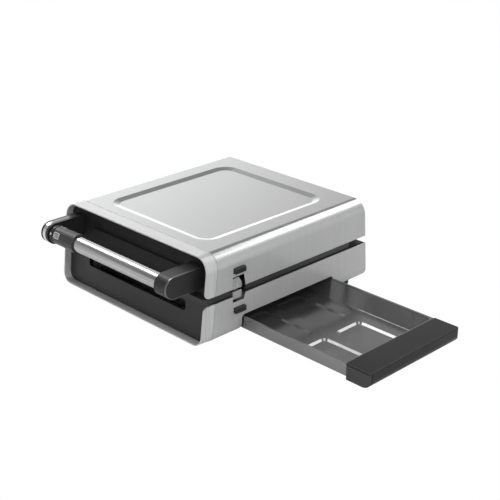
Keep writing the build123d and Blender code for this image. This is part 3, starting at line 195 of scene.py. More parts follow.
sky.links.new(sky_mix.outputs[0], sky_out.inputs["Surface"])
for name, place, aim, size, watts in lamps:
    lamp_data = bpy.data.lights.new(name, "AREA")
    lamp_data.shape = "RECTANGLE"
    lamp_data.size, lamp_data.size_y = size
    lamp_data.energy = watts
    lamp = in_scene(name, lamp_data)
    lamp.location = place
    lamp.rotation_euler = (Vector(aim) - Vector(place)).to_track_quat("-Z", "Y").to_euler()
    lamp.visible_camera = False


# Feet: four turned rubber buttons with a chamfered rim, matt black from the mould.
# Each is held by a screw through its middle, so its sole is open there.
noise_low, noise_high = 0.3, 0.7
cloud_per_metre = 9.0
touch_per_metre = 26.0
touch_polish, touch_wear = 0.04, 0.05
weld_gap = 2e-6
broad_face_weight = 60


def new_group(name, inputs, outputs):
    """Shader group with named inputs and outputs."""
    group = bpy.data.node_groups.new(name, "ShaderNodeTree")
    for socket, kind, value in inputs:
        item = group.interface.new_socket(name=socket, in_out="INPUT", socket_type=kind)
        item.default_value = value
    for socket, kind in outputs:
        group.interface.new_socket(name=socket, in_out="OUTPUT", socket_type=kind)
    return group, group.nodes.new("NodeGroupInput"), group.nodes.new("NodeGroupOutput")


def noise_value(group, inside, source):
    """The middle of a noise's range, spread from the group's Low to its High."""
    spread = group.nodes.new("ShaderNodeMapRange")
    spread.inputs["From Min"].default_value = noise_low
    spread.inputs["From Max"].default_value = noise_high
    group.links.new(source, spread.inputs["Value"])
    group.links.new(inside.outputs["Low"], spread.inputs["To Min"])
    group.links.new(inside.outputs["High"], spread.inputs["To Max"])
    return spread.outputs[0]


drift, drift_in, drift_out = new_group(
    "surface_drift",
    [
        ("Per Metre", "NodeSocketFloat", 20.0),
        ("Low", "NodeSocketFloat", 0.0),
        ("High", "NodeSocketFloat", 1.0),
    ],
    [("Value", "NodeSocketFloat")],
)
drift_place = drift.nodes.new("ShaderNodeTexCoord")
drift_noise = drift.nodes.new("ShaderNodeTexNoise")
drift_noise.inputs["Detail"].default_value = 3.0
drift.links.new(drift_place.outputs["Object"], drift_noise.inputs["Vector"])
drift.links.new(drift_in.outputs["Per Metre"], drift_noise.inputs["Scale"])
drift_value = noise_value(drift, drift_in, drift_noise.outputs["Fac"])
drift.links.new(drift_value, drift_out.inputs["Value"])

stipple, stipple_in, stipple_out = new_group(
    "mould_stipple",
    [("Per Metre", "NodeSocketFloat", 1800.0)],
    [("Height", "NodeSocketFloat")],
)
stipple_place = stipple.nodes.new("ShaderNodeTexCoord")
stipple_noise = stipple.nodes.new("ShaderNodeTexNoise")
stipple_noise.inputs["Detail"].default_value = 2.0
stipple.links.new(stipple_place.outputs["Object"], stipple_noise.inputs["Vector"])
stipple.links.new(stipple_in.outputs["Per Metre"], stipple_noise.inputs["Scale"])
stipple.links.new(stipple_noise.outputs["Fac"], stipple_out.inputs["Height"])


def use_group(tree, group, **values):
    """A node that uses a shader group, with its inputs set by name."""
    node = tree.nodes.new("ShaderNodeGroup")
    node.node_tree = group
    for name, value in values.items():
        node.inputs[name.replace("_", " ")].default_value = value
    return node


def new_finish(name, colour, rough, metal):
    """Material with its node tree and the node of its surface."""
    material = bpy.data.materials.new(name)
    material.use_nodes = True
    tree = material.node_tree
    surface = tree.nodes["Principled BSDF"]
    surface.inputs["Base Color"].default_value = (*colour, 1)
    surface.inputs["Roughness"].default_value = rough
    surface.inputs["Metallic"].default_value = metal
    return material, tree, surface


def toned(tree, surface, source, dark, light):
    """Base colour between two colours, by a value from a group."""
    mix = tree.nodes.new("ShaderNodeMix")
    mix.data_type = "RGBA"
    mix.inputs[6].default_value = (*dark, 1)
    mix.inputs[7].default_value = (*light, 1)
    tree.links.new(source, mix.inputs[0])
    tree.links.new(mix.outputs[2], surface.inputs["Base Color"])


def bumped(tree, surface, source, strength, distance=0.0002):
    """Fine relief by a height from a group."""
    bump = tree.nodes.new("ShaderNodeBump")
    bump.inputs["Strength"].default_value = strength
    bump.inputs["Distance"].default_value = distance
    tree.links.new(source, bump.inputs["Height"])
    tree.links.new(bump.outputs[0], surface.inputs["Normal"])


def clouded(tree, surface, tone_per_metre, dark, light, shine_per_metre, smooth, rough):
    """Colour and roughness that drift over a surface, each at its own scale."""
    tone = use_group(tree, drift, Per_Metre=tone_per_metre, Low=0.0, High=1.0)
    toned(tree, surface, tone.outputs["Value"], dark, light)
    shine = use_group(tree, drift, Per_Metre=shine_per_metre, Low=smooth, High=rough)
    tree.links.new(shine.outputs["Value"], surface.inputs["Roughness"])


def moulded(name, dark, light, rough, per_metre=1800.0, relief=0.12):
    """Moulded plastic or rubber with a fine stipple, rubbed unevenly by hands."""
    material, tree, surface = new_finish(name, light, rough, 0.0)
    smooth, worn = rough - touch_polish, rough + touch_wear
    clouded(tree, surface, cloud_per_metre, dark, light, touch_per_metre, smooth, worn)
    dots = use_group(tree, stipple, Per_Metre=per_metre)
    bumped(tree, surface, dots.outputs["Height"], relief)
    return material


def evaluated_mesh(draft):
    """Final mesh of a draft object, which is taken out of the scene."""
    view = bpy.context.evaluated_depsgraph_get()
    final = bpy.data.meshes.new_from_object(draft.evaluated_get(view))
    bpy.data.objects.remove(draft)
    return final


def softened(node, material, edge=0.0004, angle=28.0, steps=3, flat=1.0):
    """Puts a copy with rounded edges in a CAD piece's place."""
    mesh = nodes[node].data.copy()
    work = bmesh.new()
    work.from_mesh(mesh)
    bmesh.ops.remove_doubles(work, verts=work.verts, dist=weld_gap)
    bmesh.ops.dissolve_limit(
        work, angle_limit=math.radians(flat), verts=work.verts, edges=work.edges
    )
    work.to_mesh(mesh)
    work.free()
    draft = in_scene(node + "_draft", mesh)
    rounding = draft.modifiers.new("rounding", "BEVEL")
    rounding.width = edge
    rounding.segments = steps
    rounding.limit_method = "ANGLE"
    rounding.angle_limit = math.radians(angle)
    rounding.use_clamp_overlap = True
    for face in mesh.polygons:
        face.use_smooth = True
    even = draft.modifiers.new("even", "WEIGHTED_NORMAL")
    even.keep_sharp = True
    even.weight = broad_face_weight
    final = evaluated_mesh(draft)
    piece = in_scene(node + "_shaped", final)
    final.materials.clear()
    final.materials.append(material)
    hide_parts(node)
    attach(piece, nodes[node]["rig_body"])
    return piece


rubber = moulded(
    "foot_rubber",
    (0.012, 0.012, 0.013), (0.02, 0.02, 0.021), rough=0.62, per_metre=1200.0, relief=0.25,
)
softened("feet", rubber, edge=0.0005)

# Foot screws: zinc-plated cross-head screws that hold the feet up against the chassis.
# Every screw of the grill is made the same way: a turned pan head, a cross recess struck into
# it and a rolled thread.
round_sides = 28
core_sides = 16
thread_steps = 14
ridge_sides = 3
rim_share = 0.62
crown_share = 0.72
recess_share = 1.15
core_share = 0.86
thread_share = 0.9
ridge_share = 0.1
thread_start = -0.96
widest_share = 0.93
tip_gap = 1e-5
brush, brush_in, brush_out = new_group(
    "brush_grain",
    [
        ("Lines Per Metre", "NodeSocketVector", (9.0, 1500.0, 9.0)),
        ("Low", "NodeSocketFloat", 0.0),
        ("High", "NodeSocketFloat", 1.0),
    ],
    [("Value", "NodeSocketFloat"), ("Scratch", "NodeSocketFloat")],
)
brush_place = brush.nodes.new("ShaderNodeTexCoord")
brush_scale = brush.nodes.new("ShaderNodeVectorMath")
brush_scale.operation = "MULTIPLY"
brush_noise = brush.nodes.new("ShaderNodeTexNoise")
brush_noise.inputs["Scale"].default_value = 1.0
brush_noise.inputs["Detail"].default_value = 4.0
brush_noise.inputs["Roughness"].default_value = 0.65
brush.links.new(brush_place.outputs["Object"], brush_scale.inputs[0])
brush.links.new(brush_in.outputs["Lines Per Metre"], brush_scale.inputs[1])
brush.links.new(brush_scale.outputs[0], brush_noise.inputs["Vector"])
brush_value = noise_value(brush, brush_in, brush_noise.outputs["Fac"])
brush.links.new(brush_value, brush_out.inputs["Value"])
brush.links.new(brush_noise.outputs["Fac"], brush_out.inputs["Scratch"])


def brushed(name, lines, dark, light, rough, relief=0.03, metal=1.0):
    """Metal with a brushed or drawn grain, its lines per metre given along X, Y and Z."""
    material, tree, surface = new_finish(name, light, rough[0], metal)
    streaks = use_group(tree, brush, Lines_Per_Metre=lines, Low=0.0, High=1.0)
    toned(tree, surface, streaks.outputs["Value"], dark, light)
    wear = use_group(tree, brush, Lines_Per_Metre=lines, Low=rough[0], High=rough[1])
    tree.links.new(wear.outputs["Value"], surface.inputs["Roughness"])
    bumped(tree, surface, streaks.outputs["Scratch"], relief)
    return material


def even_lines(per_metre):
    """A grain that is as fine along every axis."""
    return (per_metre, per_metre, per_metre)


screw_maker = bpy.data.node_groups.new("cross_head_screw", "GeometryNodeTree")
screw_maker.is_modifier = True
screw_sockets = screw_maker.interface
screw_sockets.new_socket(name="Seats", in_out="INPUT", socket_type="NodeSocketGeometry")
for socket, size in (
    ("Head Radius", 0.004),
    ("Head Height", 0.002),
    ("Shank Radius", 0.002),
    ("Shank Length", 0.01),
    ("Thread Pitch", 0.0012),
    ("Slot Width", 0.0007),
    ("Slot Depth", 0.001),
):
    item = screw_sockets.new_socket(name=socket, in_out="INPUT", socket_type="NodeSocketFloat")
    item.default_value = size
screw_sockets.new_socket(name="Plating", in_out="INPUT", socket_type="NodeSocketMaterial")
screw_sockets.new_socket(name="Screws", in_out="OUTPUT", socket_type="NodeSocketGeometry")
screw_in = screw_maker.nodes.new("NodeGroupInput")
screw_out = screw_maker.nodes.new("NodeGroupOutput")


def screw_node(kind, links=(), **settings):
    """One node of the screw, its sockets joined to others or set."""
    node = screw_maker.nodes.new(kind)
    for name, value in settings.items():
        setattr(node, name, value)
    for source, socket in links:
        if isinstance(source, bpy.types.NodeSocket):
            screw_maker.links.new(source, node.inputs[socket])
        else:
            node.inputs[socket].default_value = source
    return node.outputs[0]


def screw_sum(operation, first, second):
    return screw_node("ShaderNodeMath", [(first, 0), (second, 1)], operation=operation)


def screw_part(size, share):
    return screw_sum("MULTIPLY", size, share)


def screw_point(x, y, z):
    return screw_node("ShaderNodeCombineXYZ", [(x, 0), (y, 1), (z, 2)])


def screw_lifted(shape, height):
    lift = screw_point(0.0, 0.0, height)
    return screw_node("GeometryNodeTransform", [(shape, "Geometry"), (lift, "Translation")])


def screw_solid(operation, *shapes):
    return screw_node(
        "GeometryNodeMeshBoolean", list(shapes), operation=operation, solver="EXACT"
    )


head_radius = screw_in.outputs["Head Radius"]
head_height = screw_in.outputs["Head Height"]
shank_radius = screw_in.outputs["Shank Radius"]
shank_length = screw_in.outputs["Shank Length"]
slot_width = screw_in.outputs["Slot Width"]
slot_depth = screw_in.outputs["Slot Depth"]
rim_height = screw_part(head_height, rim_share)
crown_height = screw_sum("SUBTRACT", head_height, rim_height)
rim = screw_node(
    "GeometryNodeMeshCylinder",
    [(round_sides, "Vertices"), (head_radius, "Radius"), (rim_height, "Depth")],
)
rim = screw_lifted(rim, screw_part(rim_height, 0.5))
crown = screw_node(
    "GeometryNodeMeshCone",
    [
        (round_sides, "Vertices"),
        (screw_part(head_radius, crown_share), "Radius Top"),
        (head_radius, "Radius Bottom"),
        (crown_height, "Depth"),
    ],
)
crown = screw_lifted(crown, rim_height)
slot_length = screw_part(head_radius, recess_share)
slot_block = screw_part(slot_depth, 2.0)
slots = [
    screw_node("GeometryNodeMeshCube", [(screw_point(*size), "Size")])
    for size in ((slot_length, slot_width, slot_block), (slot_width, slot_length, slot_block))
]
head = screw_solid("UNION", (rim, "Mesh 2"), (crown, "Mesh 2"))
cross = screw_solid("UNION", (slots[0], "Mesh 2"), (slots[1], "Mesh 2"))
cross = screw_lifted(cross, head_height)
head = screw_solid("DIFFERENCE", (head, "Mesh 1"), (cross, "Mesh 2"))
core = screw_node(
    "GeometryNodeMeshCylinder",
    [
        (core_sides, "Vertices"),
        (screw_part(shank_radius, core_share), "Radius"),
        (shank_length, "Depth"),
    ],
)
core = screw_lifted(core, screw_part(shank_length, -0.5))
thread_radius = screw_part(shank_radius, thread_share)
thread_length = screw_part(shank_length, thread_share)
thread_turns = screw_sum("DIVIDE", thread_length, screw_in.outputs["Thread Pitch"])
thread_path = screw_node(
    "GeometryNodeCurveSpiral",
    [
        (thread_steps, "Resolution"),
        (thread_turns, "Rotations"),
        (thread_radius, "Start Radius"),
        (thread_radius, "End Radius"),
        (thread_length, "Height"),
    ],
)
thread_form = screw_node(
    "GeometryNodeCurvePrimitiveCircle",
    [(ridge_sides, "Resolution"), (screw_part(shank_radius, ridge_share), "Radius")],
)
thread = screw_node(
    "GeometryNodeCurveToMesh",
    [(thread_path, "Curve"), (thread_form, "Profile Curve"), (True, "Fill Caps")],
)
thread = screw_lifted(thread, screw_part(shank_length, thread_start))
whole = screw_node("GeometryNodeJoinGeometry", [(head, 0), (core, 0), (thread, 0)])
lean = screw_maker.nodes.new("GeometryNodeInputNamedAttribute")
lean.data_type = "FLOAT_VECTOR"
lean.inputs["Name"].default_value = "head_way"
turn = screw_node("FunctionNodeAlignRotationToVector", [(lean.outputs[0], "Vector")], axis="Z")
placed = screw_node(
    "GeometryNodeInstanceOnPoints",
    [(screw_in.outputs["Seats"], "Points"), (whole, "Instance"), (turn, "Rotation")],
)
placed = screw_node("GeometryNodeRealizeInstances", [(placed, 0)])
placed = screw_node(
    "GeometryNodeSetMaterial", [(placed, 0), (screw_in.outputs["Plating"], "Material")]
)
screw_maker.links.new(placed, screw_out.inputs[0])


def screw_seats(node):
    """Under side of each head, the way it faces, and the sizes of the node's screws."""
    work = bmesh.new()
    work.from_mesh(nodes[node].data)
    bmesh.ops.remove_doubles(work, verts=work.verts, dist=weld_gap)
    seats = []
    seen = set()
    for start in work.verts:
        if start in seen:
            continue
        seen.add(start)
        group = [start]
        for vertex in group:
            for edge in vertex.link_edges:
                other = edge.other_vert(vertex)
                if other not in seen:
                    seen.add(other)
                    group.append(other)
        points = [vertex.co.copy() for vertex in group]
        low = Vector([min(point[i] for point in points) for i in range(3)])
        high = Vector([max(point[i] for point in points) for i in range(3)])
        spans = high - low
        apart = [min(abs(spans[i] - spans[j]) for j in range(3) if j != i) for i in range(3)]
        along = apart.index(max(apart))
        across = [i for i in range(3) if i != along]
        middle = (low + high) / 2
        radius = max(spans[i] for i in across) / 2
        reaches = [math.hypot(*(point[i] - middle[i] for i in across)) for point in points]
        wide = [
            point[along]
            for point, reach in zip(points, reaches)
            if reach > widest_share * radius
        ]
        facing = 1 if sum(wide) / len(wide) > middle[along] else -1
        under = min(wide) if facing > 0 else max(wide)
        top = high[along] if facing > 0 else low[along]
        tip = low[along] if facing > 0 else high[along]
        shank = max(
            reach for point, reach in zip(points, reaches) if abs(point[along] - tip) < tip_gap
        )
        seat = middle.copy()
        seat[along] = under
        way = Vector((0, 0, 0))
        way[along] = facing
        seats.append((seat, way, radius, abs(top - under), shank, abs(tip - under)))
    work.free()
    return seats


zinc = brushed(
    "zinc_plate", even_lines(500.0), (0.46, 0.46, 0.47), (0.6, 0.6, 0.61), rough=(0.26, 0.36)
)


def screwed(node, pitch=0.0012, slot=(0.0007, 0.001)):
    """Puts threaded screws in the place of a CAD piece's plain ones."""
    seats = screw_seats(node)
    mesh = bpy.data.meshes.new(node + "_seats")
    mesh.from_pydata([seat[0] for seat in seats], [], [])
    facing = mesh.attributes.new("head_way", "FLOAT_VECTOR", "POINT")
    for item, seat in zip(facing.data, seats):
        item.vector = seat[1]
    draft = in_scene(node + "_draft", mesh)
    maker = draft.modifiers.new("screws", "NODES")
    maker.node_group = screw_maker
    sizes = {
        "Head Radius": seats[0][2],
        "Head Height": seats[0][3],
        "Shank Radius": seats[0][4],
        "Shank Length": seats[0][5],
        "Thread Pitch": pitch,
        "Slot Width": slot[0],
        "Slot Depth": slot[1],
        "Plating": zinc,
    }
    for item in screw_sockets.items_tree:
        if item.in_out == "INPUT" and item.name in sizes:
            maker[item.identifier] = sizes[item.name]
    piece = in_scene(node + "_threaded", evaluated_mesh(draft))
    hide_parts(node)
    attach(piece, nodes[node]["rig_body"])


screwed("foot_screws")

# Base housing: one sheet of stainless steel, brushed, and folded to a channel for the bottom
# and both sides. The tray opening and the cut-out for the plates' tabs are stamped out of it.
lines_across = 9.0
steel_relief = 0.05
upward_range = (0.70, 0.78)
quarter_turn = 0.25


def satin_steel(name, lines, dark, light, rough, metal, top_metal, spread):
    """Sheet steel brushed across the grill: lines run round the sheet and blur what it mirrors
    along the grill's length. Its top is finished finer than its upright sides."""
    grain = (lines_across, lines, lines_across)
    material = brushed(name, grain, dark, light, rough, steel_relief, metal)
    tree = material.node_tree
    surface = tree.nodes["Principled BSDF"]
    surface.inputs["Anisotropic"].default_value = spread
    surface.inputs["Anisotropic Rotation"].default_value = quarter_turn
    around = tree.nodes.new("ShaderNodeTangent")
    around.direction_type = "RADIAL"
    around.axis = "Y"
    tree.links.new(around.outputs[0], surface.inputs["Tangent"])
    facing = tree.nodes.new("ShaderNodeTexCoord")
    upward = tree.nodes.new("ShaderNodeSeparateXYZ")
    tree.links.new(facing.outputs["Normal"], upward.inputs[0])
    polish = ranged(tree, upward.outputs["Z"], upward_range, (metal, top_metal))
    tree.links.new(polish, surface.inputs["Metallic"])
    return material


sheet_steel = satin_steel(
    "sheet_steel",
    lines=1100.0,
    dark=(0.475, 0.477, 0.48),
    light=(0.54, 0.542, 0.545),
    rough=(0.2, 0.26),
    metal=0.1,
    top_metal=0.92,
    spread=0.5,
)
softened("base_housing", sheet_steel, edge=0.00045, angle=40)

# Base bezel: a heavier stainless frame, bright-brushed on its face, that closes the front of the
# housing. It is bent to a U and held by the three screws under the base.
bezel_steel = satin_steel(
    "bezel_steel",
    lines=550.0,
    dark=(0.53, 0.53, 0.535),
    light=(0.68, 0.68, 0.685),
    rough=(0.34, 0.42),
    metal=0.1,
    top_metal=0.5,
    spread=0.6,
)
softened("base_front_bezel", bezel_steel, edge=0.0008, angle=40)

# Base front: a satin dark plastic moulding set back into the bezel, with one long slot in it.
# The lip turned back round its sides and foot is screwed to the bottom of the housing.
fascia = moulded("fascia_plastic", (0.014, 0.014, 0.0155), (0.018, 0.018, 0.0195), rough=0.4)
softened("base_front_panel", fascia, edge=0.0004)

# Base back: a cover of heat-resistant plastic with vents and a deck over the hinge, matt from
# the mould. It is screwed on from below.
back_plastic = moulded(
    "back_plastic",
    (0.02, 0.02, 0.021), (0.028, 0.028, 0.03), rough=0.5, per_metre=1400.0, relief=0.3,
)
softened("base_rear_cover", back_plastic, edge=0.0003)
screwed("base_cover_screws", pitch=0.001)

# Base chassis, tray rails and hinge guides: frames and pressings of galvanised sheet,
# spot-welded and screwed to the bottom of the housing.
spangle_per_metre = 160.0
galvanised, zinc_tree, zinc_surface = new_finish(
    "galvanised_sheet", (0.5, 0.51, 0.52), rough=0.42, metal=1.0
)
clouded(
    zinc_tree, zinc_surface,
    tone_per_metre=spangle_per_metre, dark=(0.42, 0.43, 0.44), light=(0.58, 0.59, 0.6),
    shine_per_metre=spangle_per_metre, smooth=0.34, rough=0.5,
)


def coated(node, material):
    """Gives a CAD piece its finish."""
    mesh = nodes[node].data
    mesh.materials.clear()
    mesh.materials.append(material)


for pressing in ("base_chassis", "tray_rails", "hinge_guides"):
    coated(pressing, galvanised)

# Base rim: a frame of dark heat-resistant plastic that the lower plate hangs in, satin from the
# mould. It fits between the housing's sides, at their upper edge.
rim_plastic = moulded("rim_plastic", (0.024, 0.024, 0.026), (0.03, 0.03, 0.032), rough=0.46)
softened("base_rim", rim_plastic, edge=0.0004)

# Lower heater: a bent tubular element on clips over a bright reflector, with its thermostat,
# fuse and terminal block. The tube's steel is brown from heat, the small parts are ceramic.
mirror_sheet = brushed(
    "mirror_sheet", (40.0, 900.0, 40.0), (0.7, 0.7, 0.7), (0.82, 0.82, 0.82), rough=(0.12, 0.22)
)
coated("lower_reflector", mirror_sheet)
sheath, sheath_tree, sheath_surface = new_finish(
    "element_sheath", (0.07, 0.068, 0.062), rough=0.5, metal=0.6
)
heat_marks = use_group(sheath_tree, drift, Per_Metre=90.0, Low=0.0, High=1.0)
toned(
    sheath_tree, sheath_surface, heat_marks.outputs["Value"],
    (0.05, 0.047, 0.043), (0.12, 0.115, 0.105),
)
coated("lower_heating_element", sheath)
coated("lower_element_clips", galvanised)
glazed = moulded(
    "glazed_ceramic",
    (0.72, 0.7, 0.64), (0.82, 0.8, 0.75), rough=0.2, per_metre=300.0, relief=0.05,
)
for ceramic in ("lower_thermostat", "thermal_fuse", "terminal_block"):
    coated(ceramic, glazed)

# Base wiring and gland: wires in silicone sleeves, and the moulded rubber bush where the mains
# lead enters. The bush is pressed into the housing's left side.
sleeving = moulded("silicone_sleeve", (0.5, 0.49, 0.46), (0.62, 0.6, 0.56), rough=0.55)
coated("base_wiring", sleeving)
softened("cord_gland", rubber, edge=0.0004)

# Lower plate: cast aluminium with ribs, in a dark non-stick coat. It lifts out by the bent
# stainless tab that shows in the cut-out of the right side.
nonstick = moulded(
    "nonstick_coat",
    (0.022, 0.022, 0.023), (0.034, 0.034, 0.036), rough=0.36, per_metre=2600.0, relief=0.5,
)
softened("lower_plate", nonstick, edge=0.0006, angle=40)
tab_steel = brushed(
    "tab_steel", (400.0, 400.0, 60.0),
    (0.7, 0.7, 0.7), (0.74, 0.74, 0.74), rough=(0.22, 0.28), relief=0.005, metal=0.6,
)
softened("lower_plate_tab", tab_steel, edge=0.0004)

# Release buttons: dark plastic pads that slide on a stem, each with a steel hook that holds a
# plate and a spring that pushes the pad out again.
button_plastic = moulded(
    "button_plastic", (0.014, 0.014, 0.015), (0.02, 0.02, 0.022), rough=0.36
)
plain_steel = brushed(
    "plain_steel", (300.0, 60.0, 300.0), (0.42, 0.42, 0.43), (0.56, 0.56, 0.57), rough=(0.28, 0.4)
)
for level in ("lower", "upper"):
    softened(level + "_release_button", button_plastic, edge=0.0005)
    coated(level + "_release_latch", plain_steel)
    coated(level + "_release_spring", plain_steel)

# Drip tray: pressed metal with four sunk pans, a sloping far wall and a turned rim, in a dull
# dark grey coat. It slides in the rails under the lower plate.
tray_coat, tray_tree, tray_surface = new_finish(
    "tray_coat", (0.28, 0.28, 0.28), rough=0.17, metal=0.83
)
clouded(
    tray_tree, tray_surface,
    tone_per_metre=14.0, dark=(0.27, 0.27, 0.272), light=(0.3, 0.3, 0.302),
    shine_per_metre=40.0, smooth=0.15, rough=0.19,
)
tray_dots = use_group(tray_tree, stipple, Per_Metre=2200.0)
bumped(tray_tree, tray_surface, tray_dots.outputs["Height"], strength=0.12)
softened("drip_tray", tray_coat, edge=0.0005, angle=24)

# Tray handle: a hollow moulding in dark satin plastic that closes the tray's end and is held by
# two screws through the tray's wall. Its end faces are grained, and painted a lighter grey as a
# painted highlight for the light that falls on them.
end_face_turn = 0.7
end_face_y = 0.1
grip_plastic = moulded(
    "grip_plastic", (0.008, 0.008, 0.0085), (0.011, 0.011, 0.0115), rough=0.32
)
grip_surface = grip_plastic.node_tree.nodes["Principled BSDF"]
grip_surface.inputs["Specular IOR Level"].default_value = 0.3
tray_grip = softened("tray_handle", grip_plastic, edge=0.0011)
grip_end_painted_lit = moulded(
    "grip_end_painted_lit",
    (0.04, 0.04, 0.041), (0.052, 0.052, 0.053), rough=0.5, per_metre=1100.0, relief=0.3,
)
# The end faces take the lighter grey: painted light, not a colour of the plastic.
tray_grip.data.materials.append(grip_end_painted_lit)
for face in tray_grip.data.polygons:
    if abs(face.normal.y) > end_face_turn and abs(face.center.y) > end_face_y:
        face.material_index = 1
screwed("tray_handle_screws", pitch=0.001)

# Floating hinge: two upright steel arms that slide in the guides, a link bar between them, and
# leaves that turn on pins at their tops and are screwed to the lid.
for bent in ("hinge_arms", "hinge_link_bar", "hinge_pins", "hinge_leaves"):
    softened(bent, plain_steel, edge=0.0003)
screwed("hinge_screws")

# Lid rim and chassis: a dark plastic frame whose front strip fills the seam, and the galvanised
# frame over it that carries the upper heater, its reflector, thermostat and sleeved wires.
softened("lid_rim", rim_plastic, edge=0.0005)
for node, material in (
    ("lid_chassis", galvanised),
    ("upper_reflector", mirror_sheet),
    ("upper_heating_element", sheath),
    ("upper_element_clips", galvanised),
    ("upper_thermostat", glazed),
    ("lid_wiring", sleeving),
):
    coated(node, material)

# Upper plate: cast aluminium with ribs and a non-stick coat, like the lower one. It is latched
# into the lid and lifts out by a stainless tab of its own.
softened("upper_plate", nonstick, edge=0.0006, angle=40)
softened("upper_plate_tab", tab_steel, edge=0.0004)

# Lid housing: the same brushed sheet as the base, folded over the top and down both sides, its
# top pressed down in a shallow panel with rounded corners.
softened("lid_housing", sheet_steel, edge=0.0008, angle=9)

# Lid front and back: a stainless bezel round a dark moulded panel with one long groove, both
# fitted inside the folded housing, and a plastic cover at the back on three screws.
softened("lid_front_bezel", bezel_steel, edge=0.0008, angle=40)
# The faces inside the groove are painted near black: painted shade for the shadow in the recess.
groove_low = Vector((-0.1125, -0.1725, 0.1185))
groove_high = Vector((0.1125, -0.150, 0.1291))
lid_front = softened("lid_front_panel", fascia, edge=0.0004)
groove_painted_shade = moulded(
    "groove_painted_shade", (0.003, 0.003, 0.003), (0.005, 0.005, 0.005), rough=0.7
)
lid_front.data.materials.append(groove_painted_shade)
for face in lid_front.data.polygons:
    if all(groove_low[i] < face.center[i] < groove_high[i] for i in range(3)):
        face.material_index = 1
softened("lid_rear_cover", back_plastic, edge=0.0003)
screwed("lid_cover_screws", pitch=0.001)

# Handle arms: two satin dark plastic arms, screwed on through the lid's front panel, each with a
# thin metal band round its outline. The band is painted bright round the nose on the dial's side
# as a painted highlight, and painted dark elsewhere as painted shade.
softened("handle_arm_right", fascia, edge=0.0006)
softened("handle_arm_left", fascia, edge=0.0006)
trim_painted_highlight = brushed(
    "trim_painted_highlight", even_lines(30.0), (0.72, 0.72, 0.72), (0.82, 0.82, 0.82), rough=(0.12, 0.2)
)
trims = softened("handle_arm_trims", trim_painted_highlight, edge=0.0003)
trim_painted_shade = brushed(
    "trim_painted_shade", even_lines(30.0), (0.2, 0.2, 0.2), (0.26, 0.26, 0.26), rough=(0.28, 0.36)
)
trims.data.materials.append(trim_painted_shade)
# Faces on the right arm and behind the left arm's nose take the dark copy of the band (painted
# shade). The rest keep the bright copy (painted highlight).
nose_y = -0.222
for face in trims.data.polygons:
    if face.center.x > 0 or face.center.y > nose_y:
        face.material_index = 1
screwed("handle_screws")

# Handle bar: a brushed stainless tube over a steel core, with a plastic cap at its left end.
# The switch that the dial turns sits inside the cap, out of sight.
tube_steel = brushed(
    "tube_steel", (5.0, 420.0, 420.0),
    (0.36, 0.36, 0.36), (0.74, 0.74, 0.74), rough=(0.16, 0.26), relief=0.06,
)
softened("handle_tube", tube_steel, edge=0.0003)
coated("handle_core_rod", plain_steel)
cap_plastic = moulded("cap_plastic", (0.03, 0.03, 0.032), (0.038, 0.038, 0.04), rough=0.4)
softened("handle_left_cap", cap_plastic, edge=0.0004)
coated("rotary_switch", rim_plastic)

# Dial: a satin dark plastic collar that turns round the core, printed in white with a small
# grate sign and three steps. A white arrow on the arm beside it shows the setting.
softened("control_dial", cap_plastic, edge=0.0004)
coated("dial_shaft", rim_plastic)
white_ink, ink_tree, ink_surface = new_finish(
    "white_ink", (0.8, 0.8, 0.8), rough=0.45, metal=0.0
)
ink_wear = use_group(ink_tree, drift, Per_Metre=700.0, Low=0.0, High=1.0)
toned(ink_tree, ink_surface, ink_wear.outputs["Value"], (0.68, 0.68, 0.68), (0.82, 0.82, 0.82))
ink_height = 0.00008
long_edge = 0.0008
bend_cuts = 3
dial_low, dial_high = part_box("control_dial")
dial_radius = (dial_high[2] - dial_low[2]) / 2
dial_y = (dial_low[1] + dial_high[1]) / 2
dial_z = (dial_low[2] + dial_high[2]) / 2


def rounded_loop(width, height, corner, x=0.0, steps=6):
    """Outline of a rectangle with rounded corners, its middle at x."""
    points = []
    for turn, (side, end) in enumerate(((1, 1), (-1, 1), (-1, -1), (1, -1))):
        centre = (x + side * (width / 2 - corner), end * (height / 2 - corner))
        for step in range(steps + 1):
            angle = math.radians(90 * turn + 90 * step / steps)
            reach = (corner * math.cos(angle), corner * math.sin(angle))
            points.append((centre[0] + reach[0], centre[1] + reach[1]))
    return points


def sign_mesh(loops):
    """Filled flat sign with a little thickness, from closed outlines."""
    curve = bpy.data.curves.new("sign", "CURVE")
    curve.dimensions = "2D"
    curve.fill_mode = "BOTH"
    curve.extrude = ink_height / 2
    for loop in loops:
        line = curve.splines.new("POLY")
        line.points.add(len(loop) - 1)
        for point, (x, y) in zip(line.points, loop):
            point.co = (x, y, 0, 1)
        line.use_cyclic_u = True
    return evaluated_mesh(in_scene("draft", curve))


def number_mesh(text, size):
    """Flat number with the same thickness."""
    curve = bpy.data.curves.new("number", "FONT")
    curve.body = text
    curve.size = size
    curve.align_x = "CENTER"
    curve.align_y = "CENTER"
    curve.extrude = ink_height / 2
    return evaluated_mesh(in_scene("draft", curve))


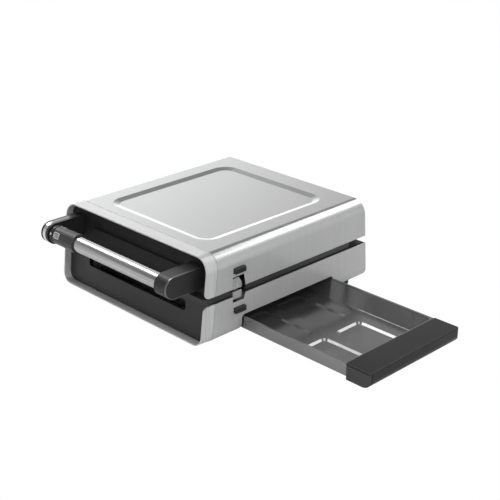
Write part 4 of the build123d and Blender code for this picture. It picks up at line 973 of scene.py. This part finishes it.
def wrapped(name, signs, body):
    """Lays flat signs round the handle's axis: each is a mesh, its place along X and its angle
    up from the front."""
    work = bmesh.new()
    for mesh, x, angle in signs:
        first = len(work.verts)
        work.from_mesh(mesh)
        work.verts.ensure_lookup_table()
        edges = [edge for vertex in work.verts[first:] for edge in vertex.link_edges]
        edges = [edge for edge in dict.fromkeys(edges) if edge.calc_length() > long_edge]
        bmesh.ops.subdivide_edges(work, edges=edges, cuts=bend_cuts, use_grid_fill=True)
        work.verts.ensure_lookup_table()
        for vertex in work.verts[first:]:
            lie = math.radians(angle) + vertex.co.y / dial_radius
            reach = dial_radius + ink_height / 2 + vertex.co.z
            up, out = reach * math.sin(lie), reach * math.cos(lie)
            vertex.co = (x + vertex.co.x, dial_y - out, dial_z + up)
    bmesh.ops.triangulate(work, faces=work.faces)
    bmesh.ops.recalc_face_normals(work, faces=work.faces)
    mesh = bpy.data.meshes.new(name)
    work.to_mesh(mesh)
    work.free()
    mesh.materials.append(white_ink)
    piece = in_scene(name, mesh)
    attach(piece, body)


sign_x = dial_low[0] + 0.0112
tick_x = dial_low[0] + 0.0028
arrow_x = dial_low[0] - 0.0029
sign_angle = 24.0
arrow_angle = 21.0
step_angle = 80.0
number_size = 0.0095
grate_frame = (0.0140, 0.0104, 0.0022)
grate_opening = (0.0112, 0.0076, 0.0012)
grate_bar = (0.0016, 0.0052, 0.0007)
bar_gap = 0.0033
tick_bar = (0.0035, 0.0008, 0.0003)
arrow_back, arrow_tip, arrow_half = -0.0022, 0.0024, 0.0027
grate = [rounded_loop(*grate_frame), rounded_loop(*grate_opening)]
grate += [rounded_loop(*grate_bar, x) for x in (-bar_gap, 0.0, bar_gap)]
step_tick = [rounded_loop(*tick_bar)]
dial_signs = [(sign_mesh(grate), sign_x, sign_angle)]
for step in (1, 2, 3):
    angle = sign_angle + step_angle * step
    dial_signs.append((number_mesh(str(step), number_size), sign_x, angle))
    dial_signs.append((sign_mesh(step_tick), tick_x, angle))
wrapped("dial_print", dial_signs, "dial")
arrow = [[(arrow_back, -arrow_half), (arrow_tip, 0.0), (arrow_back, arrow_half)]]
wrapped("setting_arrow", [(sign_mesh(arrow), arrow_x, arrow_angle)], "lid")
